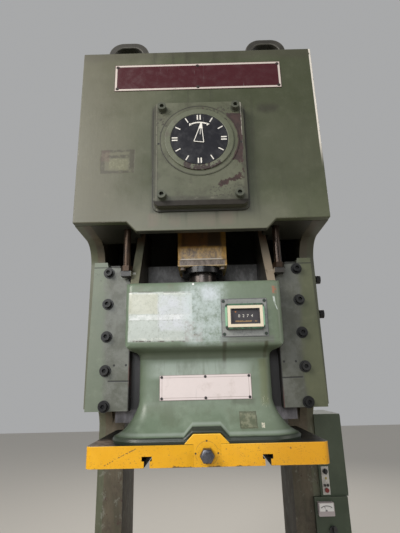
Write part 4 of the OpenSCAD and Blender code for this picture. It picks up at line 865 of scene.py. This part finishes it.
def cover_wear(s, colour, chip, rough, height):
    """Large maroon chips on the right, grime round the edges with painted shade round and under the panel,
    painted highlights on its edges, and two black pin holes.
    """
    ring = s.reach(0, DIAL_Z)
    upper = s.field(0.136, PANEL_X, 2.748, 3.008, 0.002, 0.016)
    upper = upper * s.rise(ring + s.sway(0.026, 22, 6, 0.65), BOSS_R - 0.004, BOSS_R)
    drift = s.sway(0.085, 34, 6, 0.75, shift=(3, 3, 7))
    lower = s.between(s.z - 2.644 - (s.x - 0.135) * 0.42 + drift, -0.014, 0.014, 0.002)
    lower = lower * s.between(s.x + drift, 0.088, 0.19, 0.003)
    side = s.field(0.18, PANEL_X, 2.65, 2.75, 0.002, 0.02, 30)
    side = side * s.spots(0.5, 0.54, 44, 6, 0.7, shift=(3, 3, 7))
    left_corner = s.field(-0.207, -0.165, 2.955, 3.03, 0.002, 0.014)
    corner = most(left_corner, s.field(0.02, 0.13, 3.022, 3.045, 0.002, 0.014))
    corner = corner * s.spots(0.56, 0.6, 26, 6, 0.7, shift=(1, 3, 1))
    primer = most(upper, lower, side, corner)
    dirty = s.spots(0.46, 0.66, 12, 8, 0.7, shift=(5, 5, 0))
    fray = s.sway(0.03, 20, 6, 0.7)
    rims = most(s.rise(abs(s.x) + fray, 0.192, 0.206), s.rise(s.z + fray, 2.58, 2.556))
    # The base flange round the panel is darker: dirt, and painted shade from the panel.
    base = s.rise(s.y, PANEL_Y + 0.003, PANEL_Y + 0.006)
    # Its outer edge is nearly black: grime and a painted contact shadow.
    base_edge = most(s.rise(abs(s.x), COVER_X - 0.005, COVER_X), s.rise(abs(s.z - COVER_Z), 0.2785, 0.284))
    # A painted highlight along the panel's left edge.
    crest = s.between(s.x, -PANEL_X - 0.001, -PANEL_X + 0.003, 0.001) * s.spots(0.36, 0.5, 24, 6, 0.7)
    boss = s.between(ring + s.sway(0.004, 16, 5, 0.6), BOSS_R - 0.002, BOSS_R + 0.0025, 0.0015)
    specks = most(
        s.field(0.03, 0.15, 2.965, 3.04, 0.01, 0.02),
        s.field(0.04, 0.2, 2.56, 2.625, 0.01, 0.015) * 0.8,
        s.field(-0.205, -0.16, 2.88, 3.03, 0.006, 0.02),
    )
    # Painted shade on the underside of the panel's lower edge.
    sill = s.rise(s.z + s.sway(0.006, 30, 5, 0.6), 2.552, 2.544) * (1 - base)
    # A painted highlight along the panel's right edge.
    bright_side = s.between(s.x, 0.204, 0.207, 0.0008) * s.rise(s.z, 2.8, 2.9)
    bright_side = bright_side * s.spots(0.38, 0.48, 24, 6, 0.7)
    # Flecks on the rounded lower edge: wear and painted highlight.
    foot = s.between(s.z, 2.553, 2.562, 0.003) * s.spots(0.5, 0.62, 26, 7, 0.75)
    pins = s.dots([(-0.195, 2.846), (0.201, 2.846)], 0.0062, 0.0045)
    colour = s.paint(
        colour,
        (dirty * 0.5, (0.03, 0.027, 0.015)),
        (rims * 0.55, (0.024, 0.021, 0.013)),
        (base * 0.6, (0.035, 0.034, 0.02)),
        (base_edge * base * 0.85, (0.012, 0.011, 0.007)),
        (crest * 0.5, (0.2, 0.195, 0.145)),
        # painted shadow of the boss on its left and upper left
        (boss * s.rise(s.x - (s.z - DIAL_Z) * 0.6, 0.12, -0.08) * 0.85, (0.014, 0.012, 0.008)),
        (boss * 0.45, (0.02, 0.018, 0.012)),
        (specks * s.spots(0.54, 0.58, 75, 6, 0.75, shift=(6, 1, 2)) * 0.85, (0.018, 0.014, 0.01)),
        (sill * 0.95, (0.012, 0.009, 0.006)),
        (bright_side * (1 - base) * 0.8, (0.42, 0.4, 0.34)),
        (foot * 0.3, (0.2, 0.195, 0.15)),
        (primer, s.mix(s.spots(0.4, 0.6, 50, 6, 0.7), MAROON_PRIMER, (0.04, 0.019, 0.016))),
        (pins, (0.006, 0.006, 0.006)),
    )
    return colour, chip * (1 - primer), rough + primer * 0.2 + sill * 0.3, height - primer * 0.7 - pins


def bezel_wear(s, colour, chip, rough, height):
    """The bezel's lower right is chipped, its upper left greasy."""
    low = s.field(-0.075, 0.105, 2.69, 2.742, 0.003, 0.012)
    low = low * s.spots(0.47, 0.52, 34, 7, 0.7, shift=(6, 2, 2))
    grease = s.field(-0.17, -0.11, 2.84, 2.98, 0.01, 0.02) * s.spots(0.44, 0.6, 20, 6, 0.7)
    colour = s.paint(colour, (grease * 0.6, (0.07, 0.06, 0.045)), (low, MAROON_PRIMER))
    return colour, chip, rough, height - low * 0.6


cover_look = {"runs": 0.45, "chip_colour": MAROON_PRIMER, "extra": cover_wear}
cover_paint = enamel("cover_enamel", COVER, COVER_LIGHT, 0.55, **cover_look)
cover_edge = enamel("cover_edge_enamel", COVER, COVER_LIGHT, 1.2, **cover_look)
soften("dial_cover", "frame", 0.006, cover_paint, cover_edge)
bezel_look = {"runs": 0.4, "chip_colour": MAROON_PRIMER, "extra": bezel_wear}
bezel_paint = enamel("bezel_enamel", BEZEL, BEZEL_LIGHT, 0.6, **bezel_look)
soften("dial_bezel", "frame", 0.004, bezel_paint)


def plastic(name, colour, rough, dust=0.3, extra=None):
    """Moulded plastic or a printed plate, with dust, hairline scratches and a soft grain."""
    s = Shader(name)
    film = s.spots(0.4, 0.7, 25, 6, 0.65)
    hair = s.spots(0.66, 0.7, 90, 3, 0.6, (1, 1, 0.05))
    shade = s.paint(
        s.mix(film * dust, colour, tuple(min(1, 0.6 * c + 0.1) for c in colour)),
        (hair * 0.15, (0.3, 0.3, 0.3)),
    )
    if extra:
        shade = extra(s, shade)
    return s.finish(shade, (rough + film * 0.15).min(0.9), s.bump(s.noise(300, 2), 0.1, 0.0003))


def pointer_lines(s, colour):
    """A white outline that follows the tapered pointer, filled at its tip."""
    lag = math.radians(7.5)  # how far the pointer leans to the right at rest

    def turned(x, z):
        return x * math.cos(lag) + z * math.sin(lag), DIAL_Z - x * math.sin(lag) + z * math.cos(lag)

    left, right, top = turned(-0.0235, -0.02), turned(0.0235, -0.02), turned(0, 0.085)
    sides = (left, top), (right, top), (left, right)
    outline = most(*(s.line(*start, *end, 0.0034) for start, end in sides))
    slit = s.line(*turned(0.002, 0.02), *turned(0.0, 0.05), 0.003)
    tip = s.rise(s.z, DIAL_Z + 0.05, DIAL_Z + 0.054)
    white = most(outline, tip, slit * 0.7) * s.spots(0.28, 0.36, 70, 6, 0.7)
    return s.mix(white, colour, (0.7, 0.68, 0.62))


dress(plastic("dial_black", (0.004, 0.004, 0.0075), 0.3, 0.06), "dial_face")
dress(plastic("pointer_black", (0.0045, 0.0045, 0.008), 0.3, 0.06, pointer_lines), "pointer")
STROKE_R, STROKE_LONG, STROKE_DEEP = 0.1175, 0.027, 0.0006
ARC_R, ARC_IN, ARC_OUT, ARC_HALF = 0.089, 0.0858, 0.0925, 26  # double arrow above the pointer
strokes = bmesh.new()
centre = Matrix.Translation((0, FACE_Y - 0.0002, DIAL_Z))
for hour in range(12):
    turn = centre @ Matrix.Rotation(math.radians(30 * hour), 4, "Y")
    for aside in (-0.0067, 0.0067) if hour % 3 == 0 else (0,):
        width = 0.0062 if aside else 0.0052
        block = Matrix.Diagonal((width, STROKE_DEEP, STROKE_LONG, 1))
        place = turn @ Matrix.Translation((aside, 0, STROKE_R)) @ block
        bmesh.ops.create_cube(strokes, size=1, matrix=place)
start = centre @ Matrix.Rotation(math.radians(-ARC_HALF), 4, "Y")
inner, outer = (strokes.verts.new(start @ Vector((0, -0.0003, r))) for r in (ARC_IN, ARC_OUT))
arc = [inner, outer, strokes.edges.new((inner, outer))]
bmesh.ops.spin(
    strokes, geom=arc, cent=(0, 0, DIAL_Z), axis=(0, 1, 0), angle=math.radians(2 * ARC_HALF), steps=20
)
for way in (-1, 1):
    end = centre @ Matrix.Rotation(math.radians((ARC_HALF + 2) * way), 4, "Y")
    head = end @ Matrix.Translation((0, -0.0003, ARC_R)) @ facing
    head = head @ Matrix.Rotation(math.radians(-90 * way - 90), 4, "Z")
    bmesh.ops.create_circle(strokes, cap_ends=True, radius=0.0095, segments=3, matrix=head)
for face in strokes.faces:
    if face.normal.y > 0 and face.calc_center_median().y < FACE_Y - 0.0004:
        face.normal_flip()
white_strokes = plastic("white_strokes", (0.66, 0.64, 0.58), 0.5, 0.25)
new_piece("dial_strokes", strokes, "frame", white_strokes)

# Plates on crown and slide.
# Enamelled steel plates on rivets and screws: a maroon one with a white border on
# the crown, and a cream one with a fine dark line round it on the slide.


def crown_plate_marks(s, colour):
    """A white border that has flaked in places, and six dark rivets."""
    border = s.border(-0.4285, 0.4285, 3.1945, 3.3515, 0.01) * s.spots(0.3, 0.38, 34, 8, 0.75)
    rivets = s.dots([(x, z) for x in (-0.416, 0, 0.416) for z in (3.339, 3.207)], 0.0095, 0.0085)
    return s.paint(colour, (border, (0.5, 0.44, 0.4)), (rivets, (0.035, 0.022, 0.02)))


def slide_plate_marks(s, colour):
    """A fine dark line, a darkened rim, faint stains and six screws."""
    rim = 1 - s.field(-0.1985, 0.1985, 1.675, 1.777, 0.0006)
    line = s.border(-0.1905, 0.1905, 1.6828, 1.7692, 0.0018)
    screws = s.dots([(x, z) for x in (-0.191, 0, 0.191) for z in (1.7705, 1.6815)], 0.0068, 0.0055)
    return s.paint(
        colour,
        (most(line * 0.6, rim * 0.7), (0.13, 0.06, 0.06)),
        (s.spots(0.52, 0.7, 12, 7, 0.7) * 0.3, (0.34, 0.28, 0.24)),
        (screws, (0.02, 0.016, 0.016)),
    )


dress(plastic("maroon_enamel", (0.043, 0.0015, 0.005), 0.3, 0.03, crown_plate_marks), "crown_plate")
dress(plastic("cream_enamel", (0.665, 0.59, 0.58), 0.42, 0.1, slide_plate_marks), "slide_plate")

# Height counter.
# A grey cast plate on four screws holds a green-rimmed housing with a cream mask
# round its dark window, behind which four drums show the shut height.
COUNTER_X, COUNTER_Z = 0.177, 2.014
PLATE_HALF_X, PLATE_HALF_Z = 0.0985, 0.0805
MASK_X, MASK_Z = 0.1785, 2.0155  # the middle of the mask
MASK_WIDE, MASK_DEEP, MASK_HIGH, MASK_RIM = 0.152, 0.003, 0.093, 0.018
DRUM_X, DRUM_Z = 0.153, 2.018  # the left drum's number
DRUM_PITCH, DIGIT_SIZE = 0.0185, 0.0175


def counter_marks(s, colour, chip, rough, height):
    """Dark rim and screws on the plate, green housing, and the dark window with its brass bar."""
    aside = abs(s.x - COUNTER_X)
    housing = s.rise(s.y, HEAD_Y - 0.0045, HEAD_Y - 0.006)
    low, high = COUNTER_Z - PLATE_HALF_Z, COUNTER_Z + PLATE_HALF_Z
    rim = 1 - s.field(COUNTER_X - PLATE_HALF_X, COUNTER_X + PLATE_HALF_X, low, high, 0.0015)
    corners = [(COUNTER_X + x, COUNTER_Z + z) for x in (-0.09, 0.09) for z in (-0.072, 0.072)]
    green = s.paint(
        s.mix(s.spots(0.42, 0.58, 50, 6, 0.7), (0.012, 0.034, 0.016), (0.04, 0.12, 0.06)),
        (s.rise(aside, 0.0755, 0.0765) * s.between(s.z, 1.975, 2.056, 0.004) * 0.85, (0.26, 0.5, 0.32)),
        (s.rise(aside, 0.069, 0.073) * s.rise(abs(s.z - 2.016), 0.043, 0.047) * 0.9, (0.012, 0.022, 0.014)),
    )
    window = housing * s.field(0.116, 0.242, 1.98, 2.052, 0.0004)
    brass = s.line(0.126, 1.9955, 0.232, 1.9955, 0.006) * s.spots(0.44, 0.54, 60, 5, 0.7) * window
    orange = s.dots([(0.138, 2.037)], 0.0045, 0.003) * window
    colour = s.paint(
        colour,
        (rim * 0.8, (0.035, 0.03, 0.038)),
        (s.dots(corners, 0.0085, 0.007) * 0.9, (0.03, 0.03, 0.032)),
        (s.spots(0.5, 0.62, 70, 7, 0.75) * 0.45, (0.075, 0.075, 0.085)),
        (housing, green),
        (window, (0.03, 0.026, 0.03)),
        (brass * 0.8, (0.33, 0.2, 0.07)),
        (orange * 0.8, (0.45, 0.15, 0.03)),
    )
    return colour, chip, rough, height


dress(enamel("counter_enamel", (0.19, 0.2, 0.19), (0.27, 0.28, 0.265), extra=counter_marks), "counter")
mask = bmesh.new()
mask_block = Matrix.Diagonal((MASK_WIDE, MASK_DEEP, MASK_HIGH, 1))
mask_block = Matrix.Translation((MASK_X, HEAD_Y - 0.0275, MASK_Z)) @ mask_block
bmesh.ops.create_cube(mask, size=1, matrix=mask_block)
front = [f for f in mask.faces if f.normal.y < -0.9]
bmesh.ops.inset_region(mask, faces=front, thickness=MASK_RIM)
back = [f for f in mask.faces if f.normal.y > 0.9]
bmesh.ops.delete(mask, geom=front + back, context="FACES_ONLY")
hole = [e for e in mask.edges if e.is_boundary and all(abs(v.co.x - MASK_X) < 0.07 for v in e.verts)]
inner = bmesh.ops.extrude_edge_only(mask, edges=hole)["geom"]
bmesh.ops.translate(mask, verts=[v for v in inner if isinstance(v, bmesh.types.BMVert)], vec=(0, 0.012, 0))
bmesh.ops.recalc_face_normals(mask, faces=mask.faces)
cream_mask = plastic("cream_mask", (0.66, 0.58, 0.44), 0.45, 0.2)
new_piece("counter_mask", mask, "ram", cream_mask)
numbers = bmesh.new()
for place, digit in enumerate("0274"):
    font = bpy.data.curves.new("drum_number", "FONT")
    font.body, font.size, font.align_x, font.align_y = digit, DIGIT_SIZE, "CENTER", "CENTER"
    holder = bpy.data.objects.new("drum_number", font)
    flat = bpy.data.meshes.new_from_object(holder)
    flat.transform(Matrix.Translation((DRUM_X + DRUM_PITCH * place, HEAD_Y - 0.0146, DRUM_Z)) @ facing)
    numbers.from_mesh(flat)
    bpy.data.objects.remove(holder)
new_piece("counter_numbers", numbers, "ram", white_strokes)

# Control boxes.
# Folded steel boxes on the right upright, with a white button strip and a panel meter.
# The lower one's edges are rubbed pale by hands and sleeves.
METER_X, METER_Z = 0.612, 1.1
NEEDLE_X, NEEDLE_Z = METER_X - 0.002, METER_Z - 0.007  # the needle's pivot


def meter_marks(s, colour):
    """A curved scale with graduations and a needle above a grey lower band."""
    swing = s.reach(METER_X, METER_Z - 0.034)
    aside = abs(s.x - METER_X)
    face = s.field(METER_X - 0.036, METER_X + 0.036, METER_Z - 0.009, METER_Z + 0.028, 0.0004)
    scale = s.between(swing, 0.048, 0.0525, 0.0004) * s.rise(aside, 0.03, 0.028)
    ticks = s.between(swing, 0.0415, 0.045, 0.0004) * s.spots(0.5, 0.54, 260, 2, 0.5, (1, 1, 0.2))
    ticks = ticks * s.rise(aside, 0.026, 0.024)
    pivot = s.dots([(NEEDLE_X, NEEDLE_Z)], 0.0065, 0.005)
    needle = s.line(NEEDLE_X, NEEDLE_Z, METER_X - 0.013, METER_Z + 0.014, 0.0014)
    black = most(scale, needle, ticks * 0.7, pivot) * face * 0.85
    return s.paint(colour, (1 - face, (0.4, 0.35, 0.35)), (black, (0.04, 0.035, 0.04)))


def strip_marks(s, colour):
    """Dirt round the buttons and the yellow lamp under the selector."""
    grime = s.spots(0.5, 0.66, 30, 7, 0.7) * 0.4
    lit = s.dots([(0.634, 1.237)], 0.0068, 0.0055)
    return s.paint(colour, (grime, (0.16, 0.14, 0.12)), (lit, (0.3, 0.24, 0.07)))


box_paint = enamel("box_enamel", (0.034, 0.05, 0.028), (0.056, 0.072, 0.044), 0.6, 0.6)
box_edge = enamel("box_edge_enamel", (0.12, 0.13, 0.1), (0.24, 0.24, 0.2), 0.8, 0.3)
soften("lower_box", "frame", 0.0022, box_paint, box_edge)
dress(box_paint, "cabinet", "cabinet_door")
dress(plastic("strip_white", (0.5, 0.48, 0.44), 0.45, 0.3, strip_marks), "button_strip")
dress(plastic("meter_white", (0.7, 0.68, 0.66), 0.35, 0.2, meter_marks), "meter")
dress(plastic("red_plastic", (0.16, 0.012, 0.01), 0.3), "stop_button")
black_plastic = plastic("black_plastic", (0.012, 0.012, 0.012), 0.35)
dress(black_plastic, "key_left", "key_right", "selector_knob", "speed_knob")

# Drive and bolster.
# Cast-iron gear, flywheel, pulley and air cylinders, ground shafts, rubber belts and a
# motor in blue-grey enamel, all in the crown or behind it. The bolster is ground too.
oiled_steel = steel("oiled_steel", (0.1, 0.085, 0.07), (0.27, 0.245, 0.22), 0.3)
iron = steel("dark_iron", (0.008, 0.008, 0.008), (0.028, 0.026, 0.024), 0.45, 0.4)
dress(oiled_steel, "crank_pin", "crankshaft", "pinion_shaft", "bolster")
dress(iron, "main_gear", "flywheel", "motor_pulley", "balance_cylinders")
dress(plastic("belt_rubber", (0.012, 0.012, 0.012), 0.7), "belts")
dress(enamel("motor_enamel", (0.045, 0.062, 0.07), (0.075, 0.092, 0.1), 0.3, 0.4), "motor")
